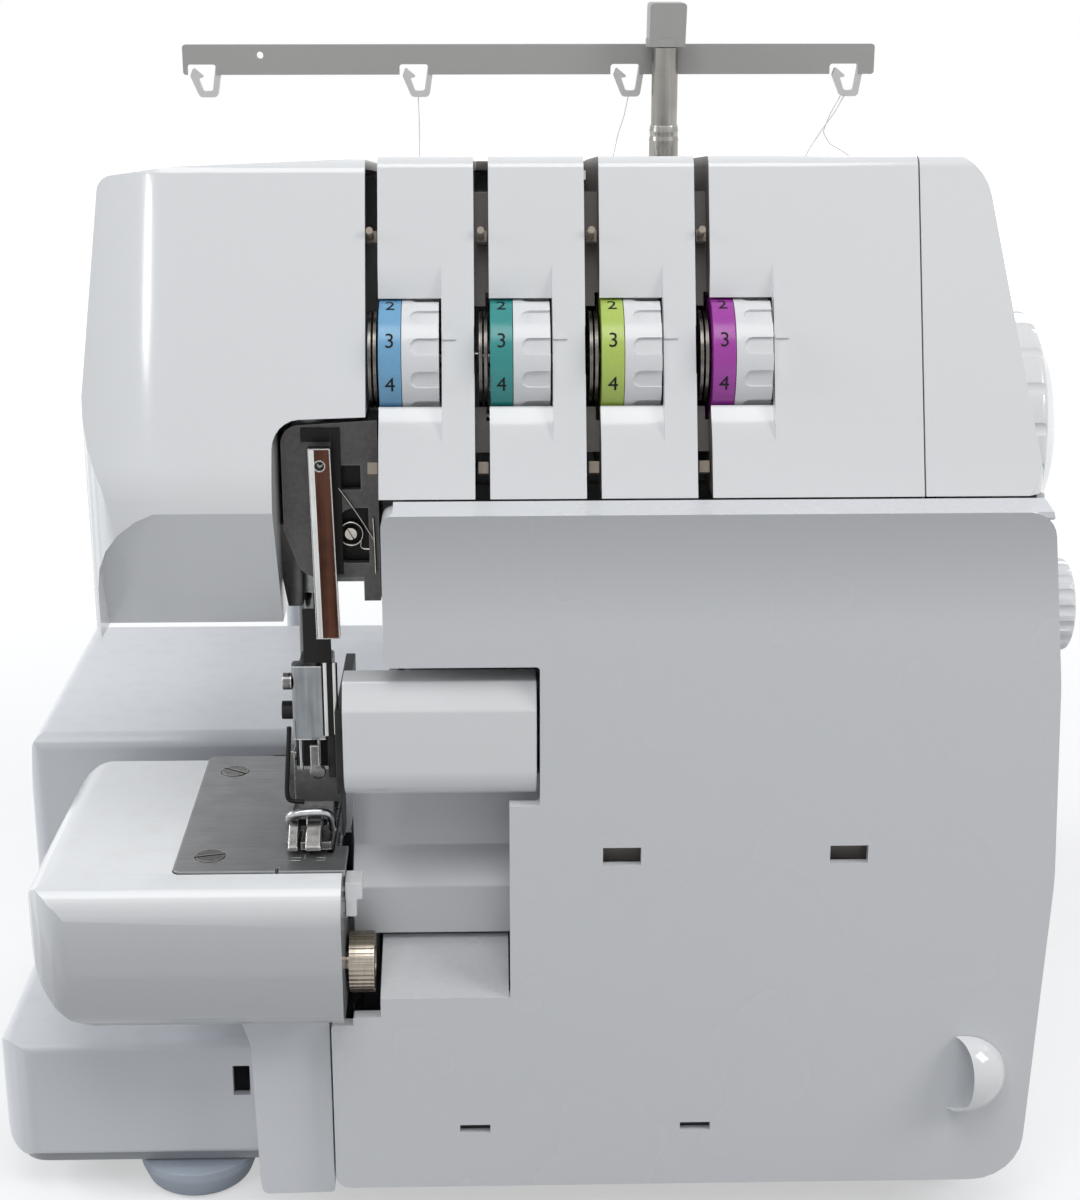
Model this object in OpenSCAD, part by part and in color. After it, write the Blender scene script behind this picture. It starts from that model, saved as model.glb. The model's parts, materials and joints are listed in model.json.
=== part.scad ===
// Serger (overlock sewing machine), built as separate pieces in one frame.
// Millimetres, +Z up, the operator stands on the -Y side, the handwheel is on +X.

/* [Main body] */
// Front face of the front cover
front_y = -130; // [-132:0.5:-129]
// Rear face of the body
back_y = 72; // [70:1:76]
// Right side of the body
right_x = 133.2; // [132.4:0.2:134]
// Underside of the covers above the table
skirt_z = 13.5; // [13:0.25:14.5]
// Top of the front cover at its front edge
sill_z = 206.6; // [205.5:0.5:207.5]
// Crown of the tension panel
crown_z = 291; // [288:1:296]
// Set-back of the crown behind the front cover
crown_back = 40; // [38:1:44]
// Drop of the top from the crown to the rear
top_fall = 19; // [14:1:22]
// Wall of the moulded covers
wall = 2.5; // [2.2:0.1:2.8]
// Gap between neighbouring covers
seam = 0.4; // [0.3:0.05:0.5]

/* [Front cover] */
// Left edge of the cover below the free arm
cover_low_x = -60.5; // [-60.8:0.1:-60]
// Left edge of the cover above the knife guard
cover_up_x = -44; // [-44.6:0.2:-43]
// Height of the lower edge of the waste opening
ramp_z = 71.9; // [71:0.3:72.5]
// Right edge of the waste opening
waste_x = -12; // [-14:0.5:-11]
// Right edge of the notch for the knife guard
notch_x = -4; // [-4.2:0.2:-3]
// Upper edge of the waste opening
waste_top = 127.8; // [126.5:0.3:128]
// Lower edge of the part above the knife guard
notch_top = 166.4; // [166:0.4:169]
// Depth of the rim behind the face
cover_rim = 11; // [9:0.5:11]
// Sideways travel that frees the cover
cover_slide = 8; // [6:1:9]
// Radius of the hinge rod
rod_r = 1.8; // [1.5:0.1:2]
// Width of the thumb grip
grip_w = 19; // [17:0.5:20]
// Height of the thumb grip
grip_h = 18.4; // [17:0.2:21]

/* [Head] */
// Left side of the head at the bottom
head_x = -118.9; // [-121:0.1:-117]
// Right edge of the head cover
head_edge_x = -47.9; // [-48.1:0.1:-47.7]
// Underside of the head
head_z = 171.3; // [169:0.5:173]
// Height of the fold above the lower facet
fold_z = 206; // [204:1:209]
// Set-back of the lower edge of the head
head_toe = 24; // [20:1:26]
// Left edge of the needle opening
bay_x = -71.6; // [-72.2:0.2:-71]
// Upper edge of the needle opening
bay_z = 228; // [227:0.5:230]

/* [Tension dials] */
// Left edge of the first tower
tower_x = -44.7; // [-45:0.1:-44.5]
// Distance from one dial to the next
pitch = 28.3; // [28.1:0.1:28.5]
// Width of the slots between the towers
slot_w = 3.8; // [3.6:0.1:4]
// Right edge of the tension panel
panel_x = 94.2; // [93:0.5:95.5]
// Radius of the dials
dial_r = 16.2; // [15.6:0.2:17]
// Width of the dials
dial_w = 15.5; // [15:0.25:16.5]
// Width of the coloured band
band_w = 6; // [5:0.2:7]
// Depth of the dial axis under the face of the panel
dial_sink = 12; // [11.5:0.25:12.5]
// Radius of the spindles
spindle_r = 2; // [1.8:0.1:2.4]

/* [Free arm and bed] */
// Left end of the free arm
arm_x = -140.5; // [-142:0.5:-138]
// Front of the free arm
arm_y = -140; // [-142:0.5:-138]
// Top of the free arm
arm_z = 109; // [108.6:0.2:109.4]
// Underside of the free arm
arm_low = 68; // [67.5:0.25:69]
// Right end of the free arm
arm_end = -56.3; // [-56.6:0.1:-56]
// Thickness of the needle plate
plate_t = 1.6; // [1.4:0.1:2]
// Left side of the bed
bed_x = -158.6; // [-160:0.2:-157]
// Front of the bed
bed_y = -36; // [-38:1:-34]
// Top of the bed
bed_z = 112.2; // [110:0.5:113]
// Top of the lower left housing
shelf_z = 49; // [46:1:52]

/* [Drive] */
// Distance of the main shaft behind the middle
shaft_y = -15; // [-17:1:-13]
// Height of the main shaft
shaft_z = 203; // [201:1:205]
// Radius of the main shaft
shaft_r = 5; // [4.5:0.25:5.5]
// Radius of the handwheel
wheel_r = 34; // [33:0.5:36]
// Outer end of the handwheel
wheel_x = 154; // [152.5:0.5:155]
// Radius of the stitch length knob
length_r = 12.6; // [11.5:0.25:13]
// Radius of the knurled width knob
width_r = 8.2; // [7.6:0.1:8.4]

/* [Thread stand] */
// Sideways place of the pole
pole_x = 43.4; // [40:0.5:46]
// Place of the pole behind the middle
pole_y = 90; // [88:0.5:92]
// Radius of the outer pole tube
pole_r = 5; // [4.8:0.1:5.4]
// Height of the top of the outer tube
pole_top = 283; // [278:1:285]
// Left end of the thread bar
bar_left = -119; // [-122:1:-117]
// Right end of the thread bar
bar_right = 115; // [112:1:117]
// Underside of the thread bar
bar_z = 299.3; // [298:0.3:301]
// Rear edge of the spool stand
stand_y = 140; // [136:1:144]
// Top of the spool stand
stand_z = 52; // [50:1:56]
// Radius of the spool pins
pin_r = 3; // [2.6:0.1:3.4]
// Height of the spool pins above the stand
pin_h = 92; // [80:2:100]

/* [Fits] */
// Running clearance on pins and shafts, per side
run = 0.06; // [0.04:0.01:0.09]
// Clearance between moving pieces that do not touch
air = 0.5; // [0.4:0.1:0.7]

/* [Hidden] */
$fn = 48;
function unit(v) = v/norm(v);
function fillet(p, q, s, r, n = 6) = r <= 0 ? [q] : let (u = unit(p - q), v = unit(s - q),
    h = acos(u*v)/2, c = q + unit(u + v)*(r/sin(h)), a = q + u*(r/tan(h)) - c,
    b = q + v*(r/tan(h)) - c, t = atan2(a[1], a[0]), d = ((atan2(b[1], b[0]) - t + 540)%360) - 180)
    [for (i = [0:n]) c + r*[cos(t + d*i/n), sin(t + d*i/n)]];
function flat(p) = [p[0], p[1]];
function outline(q) = [for (i = [0:len(q) - 1]) let (k = len(q))
    each fillet(flat(q[(i + k - 1)%k]), flat(q[i]), flat(q[(i + 1)%k]), q[i][2])];
// Upper covers: the leaning front face and the falling top.
foot_y = front_y + 8;
foot_z = sill_z + 2.2;
crown_y = front_y + crown_back;
lean = atan((crown_y - foot_y)/(crown_z - foot_z));
function lean_y(z) = foot_y + (z - foot_z)*tan(lean);
fall = atan(top_fall/(back_y - crown_y));
function top_z(y) = crown_z - (y - crown_y)*top_fall/(back_y - crown_y);
panel_back = -20;
slot_deep = 9;
panel_wall = 4.5;
side_wall = 1.6;
function tower(i) = tower_x + i*pitch;
function tower_end(i) = i < 3 ? tower(i + 1) - slot_w : panel_x;
// Dial axis, found from a point on the leaning face.
dial_face_z = foot_z + 35.5;
dial_y = lean_y(dial_face_z) + dial_sink*cos(lean);
dial_z = dial_face_z - dial_sink*sin(lean);
disc_r = 12.5;
// Cover hinge.
hinge_y = front_y + 6;
hinge_z = skirt_z + 3.5;
eye_r = rod_r + 1.4;
eyes = [-20, 40, 100];
knuckles = [-4, 62];
// Needle area.
needle_x = -65.3;
needle_y = -104.7;
bar_x = -63.6;
bar_y = -97;
press_x = -66.5;
press_y = -84;
plate_z = arm_z + 0.3;
side_y = front_y + cover_rim + 1.4;
hub_y = -121.5;
hub_z = 79;
knob_gap = 4.4;
grip_x = 106;
grip_z = 49;
guard_top = 162;
shoulder = 7.2;
waist_z = 160;
belly_z = 105;
toe_in = 3.6;
function side_x(z) = right_x - toe_in*(belly_z - z)/(belly_z - skirt_z);
ramp_x = -47;
chute_low = 82;
chute_x = -54.8;
looper_x = -51;
looper_z = 46;
upper_z = 31;
length_y = -98;
length_z = 172;
motor_y = 22;
motor_z = 66;
feet = [[-102.5, -99.5], [108, -96], [-102.5, 50], [108, 50]];
foot_r = 16.8;
spool_x = [-90, -27, 31, 100];
spool_y = 114;
hook_x = [bar_left + 7.7, bar_left + 79.3, bar_left + 150.8, bar_right - 8.7];
bar_h = 9.9;
lever_y = back_y + 0.5;

module shape(q) polygon(outline(q));
module along_x(a, b) translate([a, 0, 0]) rotate([90, 0, 90]) linear_extrude(b - a) children();
module along_y(a, b) translate([0, b, 0]) rotate([90, 0, 0]) linear_extrude(b - a) children();
module along_z(a, b) translate([0, 0, a]) linear_extrude(b - a) children();
module rod_x(a, b, y, z, r) translate([a, y, z]) rotate([0, 90, 0]) cylinder(h = b - a, r = r);
module rod_y(a, b, x, z, r) translate([x, b, z]) rotate([90, 0, 0]) cylinder(h = b - a, r = r);
module rod_z(a, b, x, y, r) translate([x, y, a]) cylinder(h = b - a, r = r);
module box(a, b) translate(a) cube(b - a);

// ---- lower body ----
module base_tray() color("#D5D7DA") difference() {
    union() {
        along_z(skirt_z - 4, skirt_z - 0.3) shape([[bed_x + 5, bed_y + 5, 4], [bed_x + 5, back_y - 5, 8],
            [right_x - 7, back_y - 5, 8], [right_x - 7, front_y + 12, 6], [cover_low_x - 20, front_y + 12, 3],
            [cover_low_x - 22, front_y + 22, 0], [bed_x + 6, front_y + 22, 8]]);
        for (x = eyes) {
            rod_x(x, x + 6, hinge_y, hinge_z, eye_r);
            box([x, hinge_y, hinge_z], [x + 6, front_y + 22, hinge_z + eye_r]);
            box([x, front_y + 18, skirt_z - 1], [x + 6, front_y + 22, hinge_z + eye_r]);
        }
    }
    for (x = eyes) rod_x(x - 1, x + 7, hinge_y, hinge_z, rod_r + run);
    for (p = feet) rod_z(0, 20, p[0], p[1], 4.2);
    for (x = [20:8:76]) box([x, -50, 0], [x + 3, 10, 20]);
}
module rubber_feet() color("#C9CBCD") for (p = feet) {
    translate([p[0], p[1], 0]) rotate_extrude() shape([[0, 0, 0], [foot_r - 2.6, 0, 3.5],
        [foot_r, skirt_z - 7, 3],
        [foot_r, skirt_z - 4.3, 0], [4, skirt_z - 4.3, 0], [4, skirt_z - 1, 0], [0, skirt_z - 1, 0]]);
}
module base_box() color("#EEEFF1") difference() {
    base_box_solid(0);
    base_box_solid(wall);
    box([bed_x, front_y + 26, 0], [-84, bed_y, skirt_z + wall + 1]);
    box([-90.2, front_y + 10, 32.4], [-85.4, front_y + 30, 41.7]);
}
module base_box_solid(t) intersection() {
    along_y(front_y + 18 + t, bed_y - seam + (t > 0 ? 1 : 0)) offset(delta = -t)
        shape([[bed_x + 2.2, skirt_z, 8], [bed_x + 2.2, shelf_z, 4], [cover_low_x - 23, shelf_z, 0],
        [cover_low_x - 23, skirt_z, 0]]);
    along_z(0, 60) offset(delta = -t) shape([[bed_x + 2.2, front_y + 18, 11],
        [cover_low_x - 23, front_y + 18, 0], [cover_low_x - 23, bed_y + 9, 0],
        [bed_x + 2.2, bed_y + 9, 0]]);
    along_x(-170, -60) offset(delta = -t) shape([[front_y + 18, skirt_z, 2], [front_y + 18, shelf_z, 3],
        [bed_y + 9, shelf_z, 0], [bed_y + 9, skirt_z, 0]]);
}
module bed_solid(t) intersection() {
    along_y(bed_y + t, back_y - t) offset(delta = -t) shape([[bed_x, skirt_z, 6], [bed_x, bed_z - 20, 60],
        [bed_x + 1.8, bed_z, 5],
        [-45 + 2*t, bed_z, 0], [-45 + 2*t, skirt_z, 0]]);
    along_z(0, 120) offset(delta = -t) shape([[bed_x, bed_y, 4.5], [-45 + 2*t, bed_y, 0],
        [-45 + 2*t, back_y, 0], [bed_x, back_y, 10]]);
    along_x(-170, -40) offset(delta = -t) shape([[bed_y, skirt_z, 0], [bed_y, bed_z, 5],
        [back_y, bed_z, 5], [back_y, skirt_z, 3]]);
}
module bed_box() color("#F2F3F4") difference() {
    bed_solid(0);
    bed_solid(wall);
    box([bed_x + 12, bed_y + 6, skirt_z - 1], [-44, back_y - 8, skirt_z + wall + 1]);
    box([-83.6, bed_y - 1, skirt_z + wall], [-44, bed_y + wall + 1, 105]);
}
module arm_post() color("#F0F1F2") difference() {
    union() {
        along_y(front_y + 4, bed_y - seam) post_outline(0);
        along_y(front_y + 4, front_y + 11.5) shape([[cover_low_x - 20.8, skirt_z - 4.2, 2],
            [cover_low_x - 21.4, skirt_z + 1, 0], [cover_low_x - 0.8, skirt_z + 1, 0],
            [cover_low_x - 0.8, skirt_z - 3.8, 1]]);
    }
    along_y(front_y + 4 + wall, bed_y + 1) offset(delta = -wall) post_outline(0.5);
    box([cover_low_x - 18, front_y + 20, arm_low - 10], [cover_low_x - 4, bed_y + 1, arm_low + 10]);
}
module post_outline(t) shape([[cover_low_x - 21.4, skirt_z, 0], [cover_low_x - 22.4 + t, arm_low - 12, 14],
    [cover_low_x - 26, arm_low - seam - t, 0], [cover_low_x - 0.8, arm_low - seam - t, 0],
    [cover_low_x - 0.8, skirt_z, 0]]);
module arm_solid(t) intersection() {
    along_y(arm_y + t, bed_y - 11 - t) offset(delta = -t) shape([[arm_x + 1, arm_low, 24],
        [arm_x, arm_z, 9], [arm_end + 2*t, arm_z, 0], [arm_end + 2*t, arm_low, 0]]);
    along_z(60, 120) offset(delta = -t) shape([[arm_x - 0.4, arm_y, 16], [arm_end + 2*t, arm_y, 0],
        [arm_end + 2*t, bed_y - 11, 0], [arm_x + 4.5, bed_y - 11, 14]]);
    along_x(-150, -50) offset(delta = -t) shape([[arm_y + 1, arm_low, 5], [arm_y, arm_z, 11],
        [bed_y - 11, arm_z, 3], [bed_y - 11, arm_low, 3]]);
}
module plate_outline(c) shape([[-101 - c, -129 - c, 2], [-101 - c, -48 + c, 2],
    [arm_end + 0.7 + c, -48 + c, 0], [arm_end + 0.7 + c, -129 - c, 0]]);
module arm_cover() color("#F7F8F8") difference() {
    arm_solid(0);
    intersection() {
        arm_solid(wall);
        box([-150, -150, 60], [arm_end - wall, -30, 120]);
    }
    along_z(plate_z - plate_t, arm_z + 5) plate_outline(0.3);
    box([-98, -126, arm_z - 5], [arm_end - wall, -51, arm_z + 1]);
    box([arm_end - wall - 1, -113, arm_low + wall + 0.5], [arm_end + 1, -60, arm_z + 1]);
    box([arm_end - wall - 1, front_y + 1.5, 95.4], [arm_end + 1, front_y + 10, 99.6]);
    rod_x(arm_end - wall - 1, arm_end + 1, hub_y, hub_z, 2.5 + run);
    box([-83 + 4, front_y + 20, arm_low - 1], [-66, bed_y - 16, arm_low + wall + 1]);
}
module needle_plate() color("#A7A9A8") difference() {
    along_z(plate_z - plate_t + 0.3, plate_z + 0.3) plate_outline(0);
    for (y = [-59.6, -119.1]) {
        rod_z(100, 120, -92.3, y, 2.1);
        rod_z(plate_z - 0.7, 120, -92.3, y, 4.2);
    }
    for (x = [-68.6, -64.4, -60.2]) along_z(100, 120) shape([[x - 1, x > -61 ? -118 : -102, 0.8],
        [x + 1, x > -61 ? -118 : -102, 0.8], [x + 1, -82, 0.8], [x - 1, -82, 0.8]]);
    along_z(100, 120) shape([[needle_x - 4.4, needle_y - 1.3, 1], [needle_x + 3.4, needle_y - 1.3, 1],
        [needle_x + 3.4, needle_y + 1.3, 1], [needle_x - 4.4, needle_y + 1.3, 1]]);
    box([-58.8, -113.5, 100], [-50, -101, 120]);
    box([-74, -130, 100], [-73, -126.8, 120]);
}
module needle_plate_screws() color("#9A9C9D") for (y = [-59.6, -119.1]) difference() {
    union() {
        rod_z(plate_z - 0.6, plate_z + 0.5, -92.3, y, 4);
        rod_z(plate_z - 5, plate_z, -92.3, y, 1.9);
    }
    translate([-92.3, y, plate_z + 0.6]) rotate([0, 0, y < -100 ? 15 : -35]) cube([9, 0.9, 1.2],
        center = true);
}

// ---- upper covers ----
module panel_profile(low, rear, t, s = 4) offset(delta = -t) shape([[lean_y(low), low, 0],
    [crown_y, crown_z, s], [rear, top_z(rear), 0], [rear, low, 0]]);
module head_solid(t) difference() {
    intersection() {
        along_x(-130, head_edge_x + (t > 0 ? 1 : 0)) offset(delta = -t) shape([[lean_y(fold_z), head_z, 0],
            [lean_y(fold_z), fold_z + 4, 40], [crown_y, crown_z - 0.6, 5], [back_y, top_z(back_y) - 1, 9],
            [back_y, head_z, 5]]);
        translate([0, crown_y, crown_z]) rotate([-fall, 0, 0]) along_y(front_y, back_y + 100)
            offset(delta = -t) shape([[head_x, -170, 0], [head_x, -100, 60], [head_x - 0.8, -62, 80],
            [head_x + 3, -5, 4], [head_x + 21, -2.4, 60], [head_edge_x + 10, 0, 0],
            [head_edge_x + 10, -170, 0]]);
        along_z(head_z + t, crown_z) offset(delta = -t) shape([[head_x - 0.8, front_y + 6, 12],
            [head_edge_x + 10, front_y + 6, 0], [head_edge_x + 10, back_y, 0], [head_x - 0.8, back_y, 14]]);
    }
    // The lower facet, with a round upper left corner.
    intersection() {
        along_x(-130, head_edge_x + 12) offset(delta = t) polygon([[front_y - 5, fold_z], [lean_y(fold_z),
            fold_z], [front_y + head_toe, head_z], [front_y + head_toe + 2, head_z - 5],
            [front_y - 5, head_z - 5]]);
        along_y(front_y - 5, front_y + 40) offset(delta = t) shape([[head_x + 1.6, head_z - 8, 0],
            [head_x + 1.6, fold_z + 0.6, 22], [head_edge_x + 14, fold_z + 0.6, 0],
            [head_edge_x + 14, head_z - 8, 0]]);
    }
}
module bay(t) along_y(front_y - 5, -60 + t) shape([[bay_x - t, head_z - 10, 0], [bay_x - t, bay_z + t, 7],
    [head_edge_x + 10, bay_z + 1 + t, 0], [head_edge_x + 10, head_z - 10, 0]]);
module head_cover() color("#F8F9F9") difference() {
    head_solid(0);
    difference() {
        head_solid(wall);
        bay(wall);
    }
    bay(0);
    rod_z(220, 260, bar_x, bar_y, 4.5);
    rod_z(220, 260, press_x, press_y, 4.5);
    rod_y(back_y - 6, back_y + 1, -88, 186, 4 + run);
}
module scoop(i) along_x(tower(i) - 1, tower(i) + dial_w + 0.7) let (n = 2.4) polygon([
    [lean_y(foot_z + 56.1), foot_z + 56.1], [lean_y(foot_z + 47.5) + n*cos(lean),
        foot_z + 47.5 - n*sin(lean)],
    [lean_y(foot_z + 21.8) + n*cos(lean), foot_z + 21.8 - n*sin(lean)],
        [lean_y(foot_z + 13.2), foot_z + 13.2],
    [lean_y(foot_z + 13.2) - 9, foot_z + 13.2], [lean_y(foot_z + 56.1) - 9, foot_z + 56.1]]);
module tension_panel() color("#F3F4F5") difference() {
    union() {
        for (i = [0:3]) difference() {
            along_x(tower(i), tower_end(i)) panel_profile(foot_z, panel_back, 0);
            along_x(tower(i) + side_wall, tower_end(i) - side_wall) panel_profile(foot_z - 20,
                panel_back + 20,
                panel_wall);
        }
        for (i = [0:2]) along_x(tower_end(i) - 0.5, tower(i + 1) + 0.5) difference() {
            panel_profile(foot_z, panel_back, slot_deep, 0);
            panel_profile(foot_z - 20, panel_back + 20, slot_deep + 2, 0);
        }
        for (i = [0:3]) along_x(tower(i) + dial_w + 1, tower(i) + dial_w + 3.4) intersection() {
            panel_profile(foot_z, panel_back, 2);
            translate([dial_y, dial_z]) circle(r = 12);
        }
        for (i = [0:3]) translate([tower(i) + dial_w + 2.6, lean_y(dial_face_z + 3) - 0.1, dial_face_z + 3])
            rotate([-lean, 0, 0]) cube([3.6, 1, 0.9], center = true);
    }
    for (i = [0:3]) {
        scoop(i);
        rod_x(tower(i) - (i > 0 ? slot_w + 0.1 : 1), tower(i) + 0.1, dial_y, dial_z, disc_r + 1);
        rod_x(tower(i) - 0.9, tower(i) + dial_w + 0.6, dial_y, dial_z, dial_r + 0.8);
        rod_x(tower(i) + dial_w, tower(i) + dial_w + 5, dial_y, dial_z, spindle_r + 0.2);
    }
    box([tower_x - 1, -76.5, foot_z - 1], [tower_x + 2, -69.5, 225.5]);
}
module end_cover() color("#F5F6F6") difference() {
    end_solid(0);
    end_solid(wall);
    rod_x(100, 140, shaft_y, shaft_z, shaft_r + 4);
}
module end_solid(t) intersection() {
    along_x(panel_x + seam - t, right_x) panel_profile(t > 0 ? foot_z - 20 : foot_z, back_y, t);
    along_y(front_y, back_y) offset(delta = -t) shape([[panel_x + seam - 2*t, foot_z - 2*t, 0],
        [right_x - shoulder - 0.2 + 0.17*2*t, foot_z - 2*t, 0], [right_x - 22, crown_z + 1, 13],
        [panel_x + seam - 2*t, crown_z + 1, 0]]);
    along_z(foot_z - 2*t, crown_z + 5) offset(delta = -t) shape([[80, foot_y - 1, 0],
        [right_x - shoulder, foot_y - 1, 9],
        [right_x - shoulder, back_y, 12], [80, back_y, 0]]);
}
module top_cover() color("#F3F4F5") difference() {
    union() {
        difference() {
            along_x(tower_x, panel_x) top_profile(0);
            along_x(tower_x + wall, panel_x + 1) top_profile(wall);
        }
        box([7, 14, 240], [79, 52, top_z(52) - 1]);
    }
    translate([0, 0, 240 + wall]) along_z(0, 60) shape([[7 + wall, 14 + wall, 6], [79 - wall, 14 + wall, 6],
        [79 - wall, 52 - wall, 6], [7 + wall, 52 - wall, 6]]);
    for (i = [1:3]) along_x(tower_end(i - 1), tower(i)) translate([panel_back, 0]) square([22, 400]);
}
module top_profile(t) offset(delta = -t) shape([[panel_back + seam - 2*t, foot_z - 2*t, 0],
    [panel_back + seam - 2*t, top_z(panel_back), 0], [back_y, top_z(back_y), 9], [back_y, foot_z - 2*t, 0]]);
module side_solid(t) intersection() {
    along_x(right_x - 12, right_x + 2) offset(delta = -t) shape([[side_y - 2*t, skirt_z, 3],
        [side_y - 2*t, foot_z - seam + 2*t, 0], [back_y, foot_z - seam + 2*t, 0], [back_y, skirt_z, 10]]);
    along_y(side_y - 2*t, back_y) offset(delta = -t) shape([[right_x - 10 - 2*t, skirt_z, 0],
        [right_x - toe_in, skirt_z, 0], [right_x, belly_z, 120], [right_x - 2.4, waist_z, 80],
        [right_x - shoulder, foot_z - seam + 2*t, 0],
        [right_x - 10 - 2*t, foot_z - seam + 2*t, 0]]);
}
module side_cover() color("#F1F2F3") difference() {
    side_solid(0);
    side_solid(wall);
    rod_x(right_x - 12, right_x + 2, shaft_y, shaft_z, shaft_r + 4);
    rod_x(right_x - 12, right_x + 2, length_y, length_z, 4.2);
    box([right_x - 12, 8, 30], [right_x + 2, 34, 54]);
    box([right_x - 12, 11, 67.4], [right_x + 2, 31, 80.6]);
    for (z = [100:7:149]) box([right_x - 12, 20, z], [right_x + 2, 58, z + 3]);
}
module rear_cover() color("#EFF0F1") difference() {
    union() {
        along_x(-44.6, right_x - 10.4) shape([[back_y - 9, skirt_z, 0], [back_y - 9, skirt_z + wall, 0],
            [back_y - wall, skirt_z + wall, 0], [back_y - wall, foot_z - seam, 0], [back_y, foot_z - seam, 0],
            [back_y, skirt_z, 3]]);
        along_x(-44.6, -44.6 + wall) shape([[-90, bed_z + seam, 0], [-90, 175, 4], [-66, 175, 4],
            [-66, foot_z - seam, 0], [back_y - 1, foot_z - seam, 0], [back_y - 1, bed_z + seam, 0]]);
    }
    for (x = [70:7:105]) box([x, back_y - 5, 90], [x + 3, back_y + 1, 130]);
}
module inner_frame() color("#8E9194") difference() {
    union() {
        box([-40, -105, skirt_z], [118, 58, skirt_z + 6]);
        box([-40, -100, skirt_z + 5], [-34, 56, 200]);
        box([-40, -76, 199], [-34, -60, 224]);
        box([98, -60, skirt_z + 5], [104, 40, 198]);
        box([-36, 40, 150], [100, 46, 170]);
        box([-36, -100, 60], [100, -94, 80]);
        rod_x(-41.5, -30, shaft_y, shaft_z, 13);
        rod_x(95, 108, shaft_y, shaft_z, 13);
        rod_x(94, 112, length_y, length_z, 7);
        box([98, length_y - 7, 140], [104, -58, length_z + 7]);
        rod_y(-88, -40, looper_x, looper_z, 6.5);
        rod_y(-95, -40, looper_x, upper_z, 6.5);
        for (z = [looper_z, upper_z]) box([looper_x, -86, z - 5], [-38, -44, z + 5]);
        box([-38, front_y + 9, guard_top - 7], [-12, -96, guard_top - wall - 0.3]);
        box([-36, -100.6, 104], [-10, -94, 124]);
    }
    rod_x(-50, 130, shaft_y, shaft_z, 9.4);
    rod_x(90, 120, length_y, length_z, 3 + run);
    for (z = [looper_z, upper_z]) rod_y(-96, -39, looper_x, z, 4 + run);
    box([-41, -70, 50], [-33, 20, 120]);
    box([-41, -50, 135], [-33, 30, 180]);
    box([97, -40, 50], [105, 32, 150]);
}
module bar_bracket() color("#85888B") difference() {
    union() {
        for (z = [219, 178]) {
            box([-69.5, -92, z], [-46, -72, z + 6]);
            rod_z(z, z + 6, bar_x, bar_y, 4.8);
            box([bar_x - 4.8, bar_y, z], [bar_x + 4.8, -86, z + 6]);
        }
        box([-69.5, -76, 178], [-40.3, -70, 225]);
        for (x = [-66, -49]) box([x, -86, 183], [x + 3, -75, 220]);
    }
    rod_z(170, 240, bar_x, bar_y, 3 + run);
    rod_z(170, 240, press_x, press_y, 3 + run);
}
module knife_guard() color("#F6F7F7") difference() {
    along_x(-55.1, notch_x - 0.8) let (low = waste_top + 0.8) shape([[front_y + 11.5, guard_top - wall, 0],
        [front_y + 11.5, guard_top, 0], [front_y + 4, guard_top - 0.6, 0.8],
        [front_y + 0.3, guard_top - 7.6, 2], [front_y + 0.3, low, 9], [front_y + 12, low, 0],
        [front_y + 12, low + wall, 0], [front_y + 10, low + wall, 0], [front_y + 3, low + 3.9, 4],
        [front_y + 3, guard_top - 8.6, 0], [front_y + 5.6, guard_top - 3.2, 0]]);
    box([-56, front_y + 8, 127], [-50, front_y + 27, 133]);
}
module waste_chute() color("#DDDFE1") along_x(chute_x, -3.4) shape([[-101, 126, 0], [-103, 126, 0],
    [-103.5, 105.4, 0.8], [-112, 96.4, 1], [-110.8, chute_low, 0], [-109, chute_low, 0],
    [-110, 95.8, 0], [-101, 104.6, 0]]);

// ---- front cover ----
module hinge_carrier() color("#8F9397") {
    rod_x(-32, 112, hinge_y, hinge_z, rod_r);
    for (x = knuckles) for (s = [-1.9, 8.3]) rod_x(x + s, x + s + 1.6, hinge_y, hinge_z, eye_r - 0.4);
}
module cover_face(t) shape([[cover_low_x + t, skirt_z + t, 4], [cover_low_x + t, arm_low - 4 - t, 1],
    [cover_low_x + 6 + t, arm_low - 4 - t, 0], [cover_low_x + 6 + t, hub_z - width_r - knob_gap - t, 0.6],
    [ramp_x + t, hub_z - width_r - knob_gap - t, 0.6], [ramp_x + t, ramp_z - t, 0.6],
    [waste_x + t, ramp_z - t, 0], [waste_x + t, waste_top - t, 0], [notch_x + t, waste_top - t, 1],
    [notch_x + t, notch_top + t, 1], [cover_up_x + t, notch_top + t, 1.5], [cover_up_x + t, sill_z - t, 3],
    [right_x - shoulder - t, sill_z - t, 7],
    [right_x - 2.4 - t, waist_z, 80], [right_x - t, belly_z, 120], [right_x - toe_in - t, skirt_z + t, 14]]);
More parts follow.
